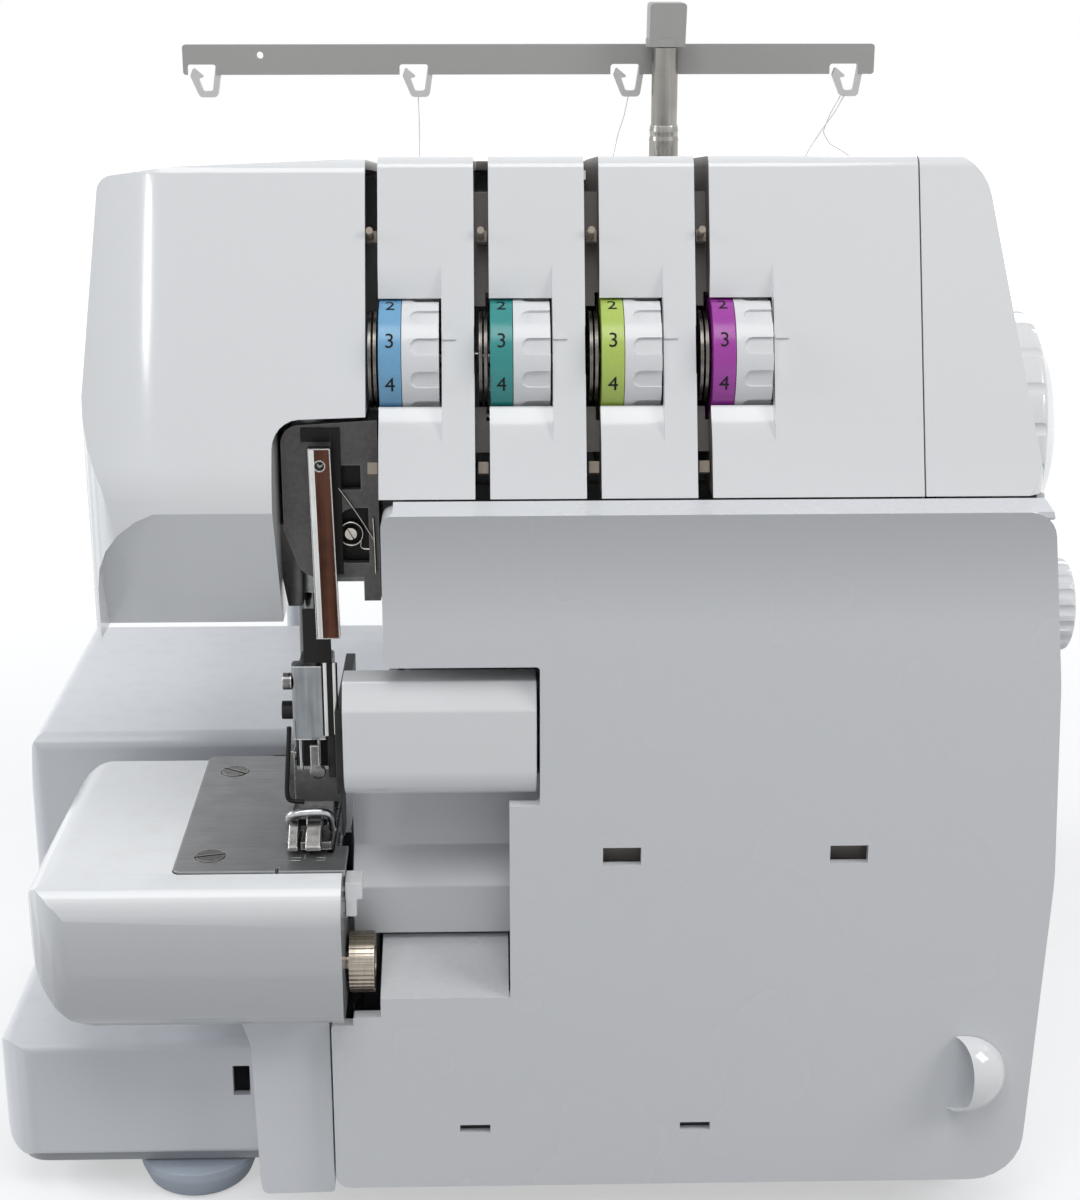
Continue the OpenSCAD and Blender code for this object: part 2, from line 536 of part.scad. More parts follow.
module front_cover() color("#ECEDEF") difference() {
    union() {
        difference() {
            along_y(front_y, front_y + cover_rim) cover_face(0);
            along_y(front_y + wall, front_y + cover_rim + 1) cover_face(wall);
            rod_x(-34, 114, hinge_y, hinge_z, rod_r + air);
            along_x(cover_low_x - 1, waste_x + 3) shape([[front_y + 4, 60, 0], [front_y + 4, 132, 0],
                [front_y + 20, 132, 0], [front_y + 20, 60, 0]]);
            along_x(cover_low_x - 1, notch_x + 3) shape([[front_y + 4, 110, 0], [front_y + 4, 172, 0],
                [front_y + 20, 172, 0], [front_y + 20, 110, 0]]);
        }
        intersection() {
            along_x(cover_up_x + 3, right_x) shape([[front_y + 0.2, sill_z - 1.5, 0],
                [front_y + 1, sill_z - 0.1, 0], [foot_y - seam, foot_z - seam, 0],
                [foot_y - seam, foot_z - seam - 2, 0], [front_y + 2, sill_z - 2.5, 0]]);
            along_y(front_y - 1, foot_y) shape([[cover_up_x, sill_z - 20, 0], [cover_up_x, foot_z + 2, 0],
                [right_x - shoulder - 0.3, foot_z + 2, 6], [right_x - shoulder + 1, sill_z - 20, 0]]);
        }
        along_x(ramp_x, waste_x - 0.4) shape([[front_y + 0.6, ramp_z - 2.4, 0], [front_y + 0.4, ramp_z, 0],
            [front_y + 21.8, chute_low - 1.6, 0], [front_y + 21.8, chute_low - 3.6, 0]]);
        for (x = knuckles) {
            rod_x(x, x + 8, hinge_y, hinge_z, eye_r);
            box([x, front_y + wall - 0.5, hinge_z - 1.5], [x + 8, hinge_y, hinge_z + 1.5]);
        }
    }
    for (x = knuckles) rod_x(x - 1, x + 9, hinge_y, hinge_z, rod_r + run);
    for (x = eyes) box([x - cover_slide - 0.6, front_y + wall, skirt_z - 1],
        [x + 6.6, front_y + cover_rim + 1, hinge_z + eye_r + 2]);
    for (x = knuckles) box([x - 2.6, front_y + wall, skirt_z - 1], [x - 0.2, front_y + cover_rim + 1,
        hinge_z + eye_r + 2]);
    for (x = knuckles) box([x + 8.2, front_y + wall, skirt_z - 1], [x + 10.6, front_y + cover_rim + 1,
        hinge_z + eye_r + 2]);
    for (p = [[12.6, 110.6], [72.8, 110.6]]) box([p[0], front_y - 1, p[1]],
        [p[0] + 10.1, front_y + 4, p[1] + 5.1]);
    for (p = [[-26, 30.4], [34.6, 30.4]]) box([p[0], front_y - 1, p[1]],
        [p[0] + 8.3, front_y + 4, p[1] + 2.5]);
}
module thumb_grip() color("#F9FAFA") difference() {
    intersection() {
        along_y(front_y - 10, front_y - 0.3) translate([grip_x, grip_z]) shape([[0, -grip_h/2, 1],
            [7, -grip_h/2, 4], [grip_w - 0.8, -2.6, 4], [grip_w - 0.8, 2.6, 4], [7, grip_h/2, 4],
            [0, grip_h/2, 1]]);
        translate([grip_x - 3, front_y + 7, grip_z]) sphere(r = grip_w + 2.4);
    }
    translate([grip_x - 7, front_y - 5, grip_z]) sphere(r = 10.5);
}

// ---- tension dials ----
module dial(i) difference() {
    rod_x(tower(i) + band_w + 0.1, tower(i) + dial_w, dial_y, dial_z, dial_r);
    rod_x(tower(i) - 1, tower(i) + dial_w + 1, dial_y, dial_z, spindle_r + run);
    rod_x(tower(i) + dial_w - 2, tower(i) + dial_w + 1, dial_y, dial_z, dial_r - 4);
    for (a = [0:30:330]) translate([tower(i) + band_w + 4.4, dial_y, dial_z]) rotate([a + 8, 0, 0])
        translate([0, 0, dial_r - 0.9]) {
            cylinder(h = 3, r = 2.2, $fn = 24);
            translate([0, -2.2, 0]) cube([8, 4.4, 3]);
        }
}
module band(i) difference() {
    rod_x(tower(i) + 0.2, tower(i) + band_w, dial_y, dial_z, dial_r);
    rod_x(tower(i) - 1, tower(i) + dial_w, dial_y, dial_z, spindle_r + run);
}
module dial_1() color("#F5F6F6") dial(0);
module dial_2() color("#F5F6F6") dial(1);
module dial_3() color("#F5F6F6") dial(2);
module dial_4() color("#F5F6F6") dial(3);
module band_1() color("#6CA8D6") band(0);
module band_2() color("#2E9C96") band(1);
module band_3() color("#B4D24F") band(2);
module band_4() color("#A93BA8") band(3);
module tension_discs() color("#6F6A63") for (i = [0:3]) {
    rod_x(tower(i) - 2.9, tower(i) + dial_w + 3.2, dial_y, dial_z, spindle_r);
    for (s = [-2.7, -1.35]) rod_x(tower(i) + s, tower(i) + s + 0.9, dial_y, dial_z, disc_r);
}
module thread_guides() color("#CDB592") for (i = [0:3]) {
    translate([tower(i) - slot_w/2 - 0.1, lean_y(foot_z + 64), foot_z + 64]) rotate([-lean, 0, 0]) {
        translate([0, slot_deep/2 - 2.2, 0]) rotate([90, 0, 0]) cylinder(h = slot_deep - 0.6, r = 0.9,
            center = true);
        translate([-1, slot_deep - 4, -1.5]) cube([2.6, 3, 3]);
    }
    translate([tower(i) - slot_w/2 - 0.1, lean_y(foot_z + 8), foot_z + 8]) rotate([-lean, 0, 0])
        translate([-1, slot_deep - 5, -1.5]) cube([2.6, 4, 3]);
}

// ---- needle area ----
module head_plate() color("#77797B") difference() {
    along_y(-104.6, -92.4) shape([[bay_x + 0.9, 224, 5], [-45.6, 225.5, 0], [-45.6, 176.5, 0],
        [-50, 176.5, 0], [-50, 183, 0], [-66, 183, 6], [bay_x + 0.9, 196, 3]]);
    along_y(-102.2, -92) shape([[bay_x + 3.3, 219, 0], [-48, 219, 0], [-48, 160, 0], [bay_x + 3.3, 160, 0]]);
    box([bar_x - 5.6, -102.2, 160], [bar_x + 5.6, -90, 230]);
    box([-55.6, -106, 207], [-50.2, -100, 213.5]);
    along_y(-106, -100) shape([[-57, 187, 3], [-57, 202, 5], [-48.4, 202, 0], [-48.4, 187, 0]]);
}
module thread_channel() color("#D9DADB") difference() {
    along_z(169, 220) shape([[-63, -112, 1.2], [-56.2, -112, 1.2], [-56.2, -106.5, 0], [-57.2, -106.5, 0],
        [-57.2, -110.8, 0], [-62, -110.8, 0], [-62, -105, 0], [-63, -105, 0]]);
    rod_y(-115, -109, -59.6, 215, 1.4);
}
module needle_bar() color("#C9CBCC") rod_z(158, 243, bar_x, bar_y, 3);
module needle_clamp() color("#7C7E80") {
    difference() {
        union() {
            along_z(147, 159) shape([[-70, needle_y - 2.4, 1], [bar_x + 4.5, needle_y - 2.4, 1],
                [bar_x + 4.5, bar_y + 4.5, 3], [bar_x - 4.5, bar_y + 4.5, 3],
                    [bar_x - 4.5, needle_y + 2.4, 0],
                [-70, needle_y + 2.4, 1]]);
            along_z(138, 148) shape([[-70, needle_y - 2.4, 1], [bar_x + 3, needle_y - 2.4, 1],
                [bar_x + 3, needle_y + 2.4, 1], [-70, needle_y + 2.4, 1]]);
        }
        rod_z(157.7, 161, bar_x, bar_y, 3.05);
    }
    for (x = [needle_x - 2.9, needle_x + 2.1])
        translate([x, needle_y, 119]) cylinder(h = 20, r1 = 0.35, r2 = 0.6, $fn = 20);
}
module presser_bar() color("#B9BBBC") rod_z(128, 246, press_x, press_y, 3);
module foot_ankle() color("#8C8E90") difference() {
    union() {
        along_z(123, 146) shape([[press_x - 4.8, press_y - 5, 1], [press_x + 4.8, press_y - 5, 1],
            [press_x + 4.8, press_y + 5.5, 2], [press_x - 4.8, press_y + 5.5, 2]]);
        rod_x(press_x - 8.6, press_x - 4.6, press_y, 138, 2.6);
    }
    rod_z(127, 150, press_x, press_y, 3.05);
    rod_x(press_x - 6, press_x + 6, press_y - 2, 125.4, 1.5 + run);
}
module presser_foot() color("#8C8E90") difference() {
    union() {
        along_z(110.6, 112.8) shape([[-72, -118, 1.5], [-59.4, -118, 1.5], [-59.4, -80, 2], [-72, -80, 2]]);
        rod_x(press_x - 4, press_x + 4, press_y - 2, 125.4, 1.5);
        for (x = [press_x - 7.2, press_x + 5.2]) box([x, press_y - 5, 112], [x + 2, press_y + 1, 127.4]);
        rod_x(press_x - 6.4, press_x + 6.4, press_y - 2, 125.4, 1.5);
    }
    along_z(100, 130) shape([[needle_x - 4.7, needle_y - 2.4, 1], [needle_x + 3.7, needle_y - 2.4, 1],
        [needle_x + 3.7, needle_y + 2.4, 1], [needle_x - 4.7, needle_y + 2.4, 1]]);
    for (x = [-68.6, -63.6]) box([x - 0.6, -119, 100], [x + 0.6, -110, 130]);
}
module upper_knife() color("#2B2C2E") {
    box([-58.4, -112, 124], [-55.7, -104, 148]);
    box([-58.4, -104.5, 141], [-55.7, -62, 147]);
    box([-57.3, -112.4, 112], [-56.5, -105, 124.5]);
}
module lower_knife() color("#B4B6B8") {
    box([-58.3, -112.5, 92], [-57.6, -103, plate_z - 0.2]);
    box([-58.3, -112.5, 86], [-57, -103, 93]);
}
module feed_dog() color("#A2A4A5") {
    for (x = [-68.6, -64.4, -60.2]) let (y0 = x > -61 ? -115 : -99) {
        box([x - 0.6, y0, 102], [x + 0.6, -84.6, plate_z]);
        for (y = [y0:3:-87]) along_x(x - 0.6, x + 0.6) polygon([[y, plate_z - 0.1], [y + 2.4, plate_z - 0.1],
            [y + 1.8, plate_z + 0.5]]);
    }
    box([-70, -99, 99.2], [-59.4, -84.6, 103.2]);
    box([-61, -115, 99.2], [-59.4, -90, 103.2]);
    box([-66, -90, 99.4], [-63, -60, 103]);
}
module looper(z, y, reach) {
    rod_y(y, -42, looper_x, z, 4);
    rod_y(y - 5, y, looper_x, z, 6);
    box([looper_x - 2.5, y - 4.5, z], [looper_x + 2.5, y - 0.5, 86]);
    box([looper_x - 9, y - 4.5, 81], [looper_x + 2.5, y - 1.5, 86]);
    along_y(y - 4, y - 2) polygon([[looper_x - 8, 82], [looper_x - 8, 89], [looper_x - 12, 93],
        [looper_x - reach, 95], [looper_x - 12, 91], [looper_x - 11, 82]]);
}
module lower_looper() color("#A9ABAD") looper(looper_z, -88.5, 21);
module upper_looper() color("#B1B3B5") looper(upper_z, -95.5, 17);
module finger_lever() color("#F4F5F5") {
    box([arm_end + 0.4, front_y + 3, 95], [arm_end + 3.4, front_y + 7.5, 101]);
    box([arm_end + 0.4, front_y + 3, 100], [arm_end + 5, front_y + 11, 105]);
    box([arm_end - 5, front_y + 3.4, 96], [arm_end + 1, front_y + 5.5, 99]);
}
module width_knob() color("#A5937A") {
    difference() {
        rod_x(arm_end + 1, arm_end + 7.7, hub_y, hub_z, width_r);
        for (a = [0:10:350]) translate([0, hub_y, hub_z]) rotate([a, 0, 0]) translate([arm_end + 0.5,
            -0.35, width_r - 0.5]) cube([8, 0.7, 1]);
        rod_x(arm_end + 6.9, arm_end + 9, hub_y, hub_z, 4.5);
    }
    rod_x(arm_end - 16, arm_end + 7, hub_y, hub_z, 2.5);
}

// ---- knobs, wheel and drive ----
module length_knob() color("#F4F5F6") {
    difference() {
        translate([0, length_y, length_z]) rotate([0, 90, 0]) rotate_extrude() shape([[0, right_x - 2, 0],
            [length_r, right_x - 2, 1], [length_r, right_x + 6, 2], [0, right_x + 6, 0]]);
        for (a = [0:20:340]) translate([0, length_y, length_z]) rotate([a, 0, 0])
            rod_x(right_x + 0.5, right_x + 9, 0, length_r + 0.9, 1.8);
    }
    rod_x(96, right_x, length_y, length_z, 3);
}
module handwheel() color("#F1F2F3") difference() {
    translate([0, shaft_y, shaft_z]) rotate([0, 90, 0]) rotate_extrude($fn = 72) shape([[0, right_x + 2, 0],
        [wheel_r - 5, right_x + 1, 0], [wheel_r, right_x + 3, 2], [wheel_r, wheel_x - 9.8, 2.5],
        [0.72*wheel_r, wheel_x - 4.6, 40], [0.4*wheel_r, wheel_x - 1.3, 60], [0, wheel_x, 0]]);
    rod_x(right_x, right_x + 13, shaft_y, shaft_z, shaft_r + 0.05);
    for (a = [0:20:340]) translate([0, shaft_y, shaft_z]) rotate([a, 0, 0])
        rod_x(right_x, wheel_x - 5, 0, wheel_r + 1.4, 2.4);
}
module main_shaft() color("#BFC1C3") {
    rod_x(-41.5, right_x + 12.5, shaft_y, shaft_z, shaft_r);
    rod_x(110, 113, shaft_y, shaft_z, 25);
    rod_x(113, 117, shaft_y, shaft_z, 22.6);
    rod_x(117, 118.5, shaft_y, shaft_z, 23.8);
    for (x = [-10, 18, 60]) rod_x(x, x + 10, shaft_y - 3, shaft_z, 10);
}
module shaft_bearings() color("#B59A5B") for (x = [-41, 95]) difference() {
    rod_x(x, x + 14, shaft_y, shaft_z, 9.2);
    rod_x(x - 1, x + 15, shaft_y, shaft_z, shaft_r + run);
}
module motor() color("#3A3D41") difference() {
    union() {
        rod_x(28, 92, motor_y, motor_z, 27);
        rod_x(92, 96, motor_y, motor_z, 20);
        box([36, motor_y - 22, skirt_z + 6.3], [84, motor_y + 22, motor_z - 10]);
    }
    rod_x(27, 97, motor_y, motor_z, 4 + run);
    for (a = [0:30:330]) translate([0, motor_y, motor_z]) rotate([a, 0, 0]) box([34, -1.5, 25],
        [86, 1.5, 28]);
}
module motor_pulley() color("#9FA2A5") {
    rod_x(28.5, 118.4, motor_y, motor_z, 4);
    rod_x(110, 113, motor_y, motor_z, 10);
    rod_x(113, 117, motor_y, motor_z, 7.6);
    rod_x(117, 118.4, motor_y, motor_z, 9);
}
function belt_line(a, b) = let (d = [motor_y - shaft_y, motor_z - shaft_z], n = norm(d),
    t = atan2(d[1], d[0]), g = acos((a - b)/n), c = [shaft_y, shaft_z], e = [motor_y, motor_z])
    concat([for (k = [0:24]) c + a*[cos(t + g + (360 - 2*g)*k/24), sin(t + g + (360 - 2*g)*k/24)]],
    [for (k = [0:12]) e + b*[cos(t - g + 2*g*k/12), sin(t - g + 2*g*k/12)]]);
module drive_belt() color("#1E1F21") along_x(113.4, 116.6) difference() {
    polygon(belt_line(25, 10));
    polygon(belt_line(23, 8));
}
module power_inlet() color("#26272A") let (x = side_x(42)) difference() {
    box([x - 15, 8.4, 30.4], [x + 0.9, 33.6, 53.6]);
    box([x - 11, 12, 34], [x + 2, 30, 50]);
}
module power_rocker() color("#1C1D1F") let (x = side_x(74)) {
    along_y(11.5, 30.5) shape([[x - 6, 70, 1], [x - 6, 78, 1], [x + 1.4, 79.6, 1], [x, 74, 0],
        [x + 1.4, 68.4, 1]]);
    rod_y(11.2, 30.8, x - 3, 74, 1.5);
}
module lifter_lever() color("#E9EAEC") {
    rod_y(lever_y, lever_y + 6, -88, 186, 8);
    rod_y(back_y - 5, lever_y + 1, -88, 186, 4);
    translate([-88, lever_y + 5.4, 186]) rotate([90, 12, 0]) linear_extrude(4.8) shape([[-7, -4, 0],
        [4, -6, 3],
        [34, -4, 4], [34, 5, 4], [4, 6, 3], [-7, 4, 0]]);
}

// ---- spool stand and thread tree ----
module spool_stand() color("#E4E6E8") difference() {
    union() {
        difference() {
            along_z(stand_z - 8, stand_z) shape([[-132, back_y + 0.4, 4], [126, back_y + 0.4, 4],
                [126, stand_y, 22], [-132, stand_y, 22]]);
            along_z(stand_z - 9, stand_z - 2.4) shape([[-129, back_y + 4, 3], [123, back_y + 4, 3],
                [123, stand_y - 3, 20], [-129, stand_y - 3, 20]]);
        }
        rod_z(stand_z - 12, stand_z + 14, pole_x, pole_y, 9.5);
        for (x = [-100, 90]) along_x(x, x + 6) polygon([[back_y + 0.4, stand_z - 1], [back_y + 0.4, 22],
            [back_y + 6, 22], [stand_y - 12, stand_z - 1]]);
    }
    rod_z(stand_z - 9, stand_z + 20, pole_x, pole_y, pole_r + 0.1);
    for (x = spool_x) rod_z(0, 80, x, spool_y, pin_r + 0.1);
}
module spool_pins() color("#DADCDF") for (x = spool_x) {
    rod_z(stand_z - 3, stand_z + pin_h, x, spool_y, pin_r);
    difference() {
        translate([x, spool_y, 0]) rotate_extrude() shape([[0, stand_z + 0.4, 0], [16, stand_z + 0.4, 0],
            [16, stand_z + 2.4, 0],
            [10, stand_z + 3, 0], [7, stand_z + 30, 1], [0, stand_z + 30, 0]]);
        rod_z(stand_z, stand_z + 40, x, spool_y, pin_r - 0.2);
    }
}
module pole_tube() color("#C3C5C7") difference() {
    translate([pole_x, pole_y, 0]) rotate_extrude() shape([[0, stand_z - 8.8, 0], [pole_r, stand_z - 8.8, 0],
        [pole_r, pole_top - 5, 1], [pole_r - 0.25, pole_top - 3.6, 0.5], [pole_r - 0.1, pole_top - 2, 0.5],
        [pole_r - 0.4, pole_top, 0], [0, pole_top, 0]]);
    rod_z(stand_z - 6, pole_top + 1, pole_x, pole_y, pole_r - 0.55);
}
module tree_tube() color("#D2D4D5") rod_z(pole_top - 150, bar_z + 9.2, pole_x, pole_y, pole_r - 0.6);
function hook(x) = [[x + 5.4, bar_z + 4, 0], [x + 3.6, bar_z - 7.4, 1.6], [x - 2.4, bar_z - 7.4, 1.6],
    [x - 5.4, bar_z - 0.4, 1.2], [x - 4.4, bar_z + 2.3, 0.4], [x - 0.6, bar_z - 0.8, 0.4],
    [x - 2.7, bar_z - 1.2, 0], [x - 1.2, bar_z - 5.4, 1], [x + 2, bar_z - 5.4, 1], [x + 3.4, bar_z + 4, 0]];
module tree_bar() color("#D6D7D8") let (y = pole_y + pole_r + 0.4) difference() {
    union() {
        difference() {
            along_y(y, y + 3) shape([[bar_left, bar_z, 1], [bar_right, bar_z, 1],
                [bar_right, bar_z + bar_h, 1], [bar_left, bar_z + bar_h, 1]]);
            for (x = hook_x) along_y(y - 1, y + 4) shape([[x - 6.4, bar_z - 1, 0], [x + 3.4, bar_z - 1, 0],
                [x + 3.4, bar_z + 3.4, 1], [x - 6.4, bar_z + 3.4, 1]]);
        }
        for (x = hook_x) along_y(y + 0.2, y + 2.8) shape(hook(x));
        along_y(pole_y - 6, y + 3) shape([[pole_x - 5.8, bar_z + 9.5, 0], [pole_x + 6.2, bar_z + 9.5, 0],
            [pole_x + 6.6, bar_z + 23.6, 1.2], [pole_x - 5.6, bar_z + 23.6, 1.2]]);
        rod_z(bar_z + 9.5, bar_z + 12, pole_x, pole_y, pole_r + 1.6);
    }
    rod_y(y - 5, y + 5, bar_left + 26, bar_z + 6.4, 1.2);
}

base_tray();
rubber_feet();
base_box();
bed_box();
arm_post();
arm_cover();
needle_plate();
needle_plate_screws();
head_cover();
tension_panel();
end_cover();
top_cover();
side_cover();
rear_cover();
inner_frame();
bar_bracket();
knife_guard();
waste_chute();
hinge_carrier();
front_cover();
thumb_grip();
dial_1();
dial_2();
dial_3();
dial_4();
band_1();
band_2();
band_3();
band_4();
tension_discs();
thread_guides();
head_plate();
thread_channel();
needle_bar();
needle_clamp();
presser_bar();
foot_ankle();
presser_foot();
upper_knife();
lower_knife();
feed_dog();
lower_looper();
upper_looper();
finger_lever();
width_knob();
length_knob();
handwheel();
main_shaft();
shaft_bearings();
motor();
motor_pulley();
drive_belt();
power_inlet();
power_rocker();
lifter_lever();
spool_stand();
spool_pins();
pole_tube();
tree_tube();
tree_bar();
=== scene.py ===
import json
import math

import bmesh
import bpy
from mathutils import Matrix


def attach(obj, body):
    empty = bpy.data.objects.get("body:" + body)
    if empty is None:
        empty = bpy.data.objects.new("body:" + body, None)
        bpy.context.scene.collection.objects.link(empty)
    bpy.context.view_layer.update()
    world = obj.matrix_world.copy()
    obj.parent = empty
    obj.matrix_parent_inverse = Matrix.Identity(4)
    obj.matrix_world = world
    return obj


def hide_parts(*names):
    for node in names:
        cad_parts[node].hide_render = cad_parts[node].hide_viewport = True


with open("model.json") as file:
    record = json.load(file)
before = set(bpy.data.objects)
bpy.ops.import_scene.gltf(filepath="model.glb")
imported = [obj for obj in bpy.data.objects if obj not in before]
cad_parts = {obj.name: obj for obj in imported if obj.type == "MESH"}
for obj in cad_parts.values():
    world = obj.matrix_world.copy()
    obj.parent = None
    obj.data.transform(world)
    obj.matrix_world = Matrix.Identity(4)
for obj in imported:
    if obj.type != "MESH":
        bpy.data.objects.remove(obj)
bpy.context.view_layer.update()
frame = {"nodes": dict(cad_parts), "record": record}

# ---- Camera ----
# Stands in front of the machine, a little above the thread bar, and looks down at it by about
# 18 degrees through a 63 mm lens.
MM = 0.001


def point(x, y, z):
    """A place given in millimetres, in the metres of the scene."""
    return (x * MM, y * MM, z * MM)


lens_mm, down_deg, turn_deg = 63.0, 17.77, -1.4
eye_data = bpy.data.cameras.new("viewing_camera")
eye_data.lens, eye_data.sensor_width = lens_mm, 36.0
eye_data.clip_start, eye_data.clip_end = 0.01, 50.0
eye = bpy.data.objects.new("viewing_camera", eye_data)
bpy.context.scene.collection.objects.link(eye)
eye.location = point(-16.4, -636.6, 346.9)
eye.rotation_euler = (math.radians(90 - down_deg), 0, math.radians(turn_deg))
bpy.context.scene.camera = eye

# ---- Thread ends in the hooks ----
# Four ends of white sewing thread, left in the hooks of the thread bar and hanging loose behind the head.
# Each is a tube of 0.3 mm that rises with the bar.
def clear():
    """Leaves edit mode and deselects everything."""
    if bpy.context.object and bpy.context.object.mode != "OBJECT":
        bpy.ops.object.mode_set(mode="OBJECT")
    bpy.ops.object.select_all(action="DESELECT")


def node_group(name, inlets, outlets):
    """A shader group with these named sockets, and its two end nodes."""
    group = bpy.data.node_groups.new(name, "ShaderNodeTree")
    for label, kind, value in inlets:
        socket = group.interface.new_socket(label, in_out="INPUT", socket_type="NodeSocket" + kind)
        socket.default_value = value
    for label, kind in outlets:
        group.interface.new_socket(label, in_out="OUTPUT", socket_type="NodeSocket" + kind)
    return group, group.nodes.new("NodeGroupInput"), group.nodes.new("NodeGroupOutput")


def node(tree, kind, settings=None, **values):
    """Adds a shader node, with its settings and the values of its sockets."""
    made = tree.nodes.new("ShaderNode" + kind)
    for key, value in (settings or {}).items():
        setattr(made, key, value)
    for key, value in values.items():
        made.inputs[int(key[1:]) if key[0] == "i" and key[1:].isdigit() else key.replace("_", " ")
                    ].default_value = value
    return made


def finish(name, **values):
    """A material with its Principled shader, whose constant values sit on its own sockets."""
    material = bpy.data.materials.new(name)
    material.use_nodes = True
    shader = material.node_tree.nodes["Principled BSDF"]
    for key, value in values.items():
        shader.inputs[key.replace("_", " ")].default_value = value
    return material, material.node_tree, shader


def grouped(tree, group, **values):
    """Places a shared group in a material with this material's own values."""
    made = tree.nodes.new("ShaderNodeGroup")
    made.node_tree = group
    for key, value in values.items():
        made.inputs[key.replace("_", " ")].default_value = value
    return made


def wear(tree, shader, source, strength, distance):
    """Feeds a group's colour, roughness and height to the shader."""
    tree.links.new(source.outputs["Color"], shader.inputs["Base Color"])
    tree.links.new(source.outputs["Roughness"], shader.inputs["Roughness"])
    bump = node(tree, "Bump", Strength=strength, Distance=distance)
    tree.links.new(source.outputs["Height"], bump.inputs["Height"])
    tree.links.new(bump.outputs["Normal"], shader.inputs["Normal"])


def paint(piece, material):
    """Gives the piece this one material."""
    piece.data.materials.clear()
    piece.data.materials.append(material)


twist, twist_in, twist_out = node_group(
    "twisted_yarn",
    [("Tint", "Color", (1, 1, 1, 1)), ("Shade", "Color", (1, 1, 1, 1)), ("Turns", "Float", 900.0)],
    [("Color", "Color"), ("Roughness", "Float"), ("Height", "Float")])
twist_place = node(twist, "TexCoord")
twist_wave = node(twist, "TexWave", {"bands_direction": "DIAGONAL"}, Distortion=0.4)
twist.links.new(twist_in.outputs["Turns"], twist_wave.inputs["Scale"])
twist.links.new(twist_place.outputs["Object"], twist_wave.inputs["Vector"])
twist_mix = node(twist, "Mix", {"data_type": "RGBA"})
twist.links.new(twist_wave.outputs["Fac"], twist_mix.inputs[0])
twist.links.new(twist_in.outputs["Tint"], twist_mix.inputs[6])
twist.links.new(twist_in.outputs["Shade"], twist_mix.inputs[7])
twist.links.new(twist_mix.outputs[2], twist_out.inputs["Color"])
twist_rough = node(twist, "MapRange", i3=0.7, i4=0.9)
twist.links.new(twist_wave.outputs["Fac"], twist_rough.inputs[0])
twist.links.new(twist_rough.outputs[0], twist_out.inputs["Roughness"])
twist.links.new(twist_wave.outputs["Fac"], twist_out.inputs["Height"])

sewing_thread, thread_nodes, thread_shader = finish("sewing_thread", Sheen_Weight=0.3)
thread_yarn = grouped(thread_nodes, twist, Tint=(0.80, 0.79, 0.77, 1), Shade=(0.62, 0.61, 0.59, 1))
wear(thread_nodes, thread_shader, thread_yarn, 0.3, 0.0001)


def thread_curve(name, route, across):
    """A smooth tube of thread along the route, and its real length."""
    data = bpy.data.curves.new(name, "CURVE")
    data.dimensions, data.bevel_depth, data.bevel_resolution = "3D", across / 2, 1
    data.resolution_u = 3
    line = data.splines.new("NURBS")
    line.points.add(len(route) - 1)
    for knot, place in zip(line.points, route):
        knot.co = (*point(*place), 1)
    line.use_endpoint_u, line.order_u = True, 3
    piece = bpy.data.objects.new(name, data)
    bpy.context.scene.collection.objects.link(piece)
    piece.data.materials.append(sewing_thread)
    length = sum(math.dist(point(*a), point(*b)) for a, b in zip(route, route[1:]))
    return piece, length


# Each end: where it rests in its hook along the bar, then how far it has strayed sideways at
# each drop below the hook.
thread_across, hook_rest_z, hang_y, lean_back, steps_between = 0.0003, 291.9, 96.9, 0.02, 3
hanging_threads = {
    "thread_end_2": (-39.9, [(0, 0), (0.2, 8), (0.1, 20), (-0.4, 34), (-0.6, 48), (-0.2, 62), (0.4, 76),
                             (0.3, 90)]),
    "thread_end_3": (31.6, [(0, 0), (-1.2, 6), (-3.4, 13), (-5.2, 22), (-6.0, 32), (-5.6, 44), (-4.4, 58),
                            (-3.8, 72)]),
    "thread_end_4": (105.4, [(0, 0), (-2.6, 5), (-6.8, 11), (-11.2, 18), (-14.4, 25), (-15.6, 33),
                             (-14.6, 44), (-13.6, 58)]),
    "thread_tail_4": (104.2, [(0, 0), (-3.2, 6), (-5.4, 12), (-3.0, 16), (1.6, 18.6), (5.2, 21), (7.4, 26),
                              (7.8, 36)]),
}
for name, (start_x, drops) in hanging_threads.items():
    route = [(start_x + stray, hang_y + lean_back * drop, hook_rest_z - drop) for stray, drop in drops]
    fine = []
    for a, b in zip(route, route[1:]):
        fine += [tuple(a[k] + (b[k] - a[k]) * step / steps_between for k in range(3))
                 for step in range(steps_between)]
    fine.append(route[-1])
    piece, length = thread_curve(name, fine, thread_across)
    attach(piece, "thread_tree")

# ---- Table, backdrop and lamps ----
# A plain pale table with a white surround behind it. Large soft lamps above, at both sides and
# at the rear give the covers their broad light, and a narrow one draws the streak on the head.
def white_for_view(tree):
    """A factor that is 1 for the camera and for mirrored rays, and 0 for all others."""
    path = node(tree, "LightPath")
    seen = node(tree, "Math", {"operation": "MAXIMUM"})
    seen_more = node(tree, "Math", {"operation": "MAXIMUM"})
    tree.links.new(path.outputs["Is Camera Ray"], seen.inputs[0])
    tree.links.new(path.outputs["Is Glossy Ray"], seen.inputs[1])
    tree.links.new(seen.outputs[0], seen_more.inputs[0])
    tree.links.new(path.outputs["Is Transmission Ray"], seen_more.inputs[1])
    return seen_more


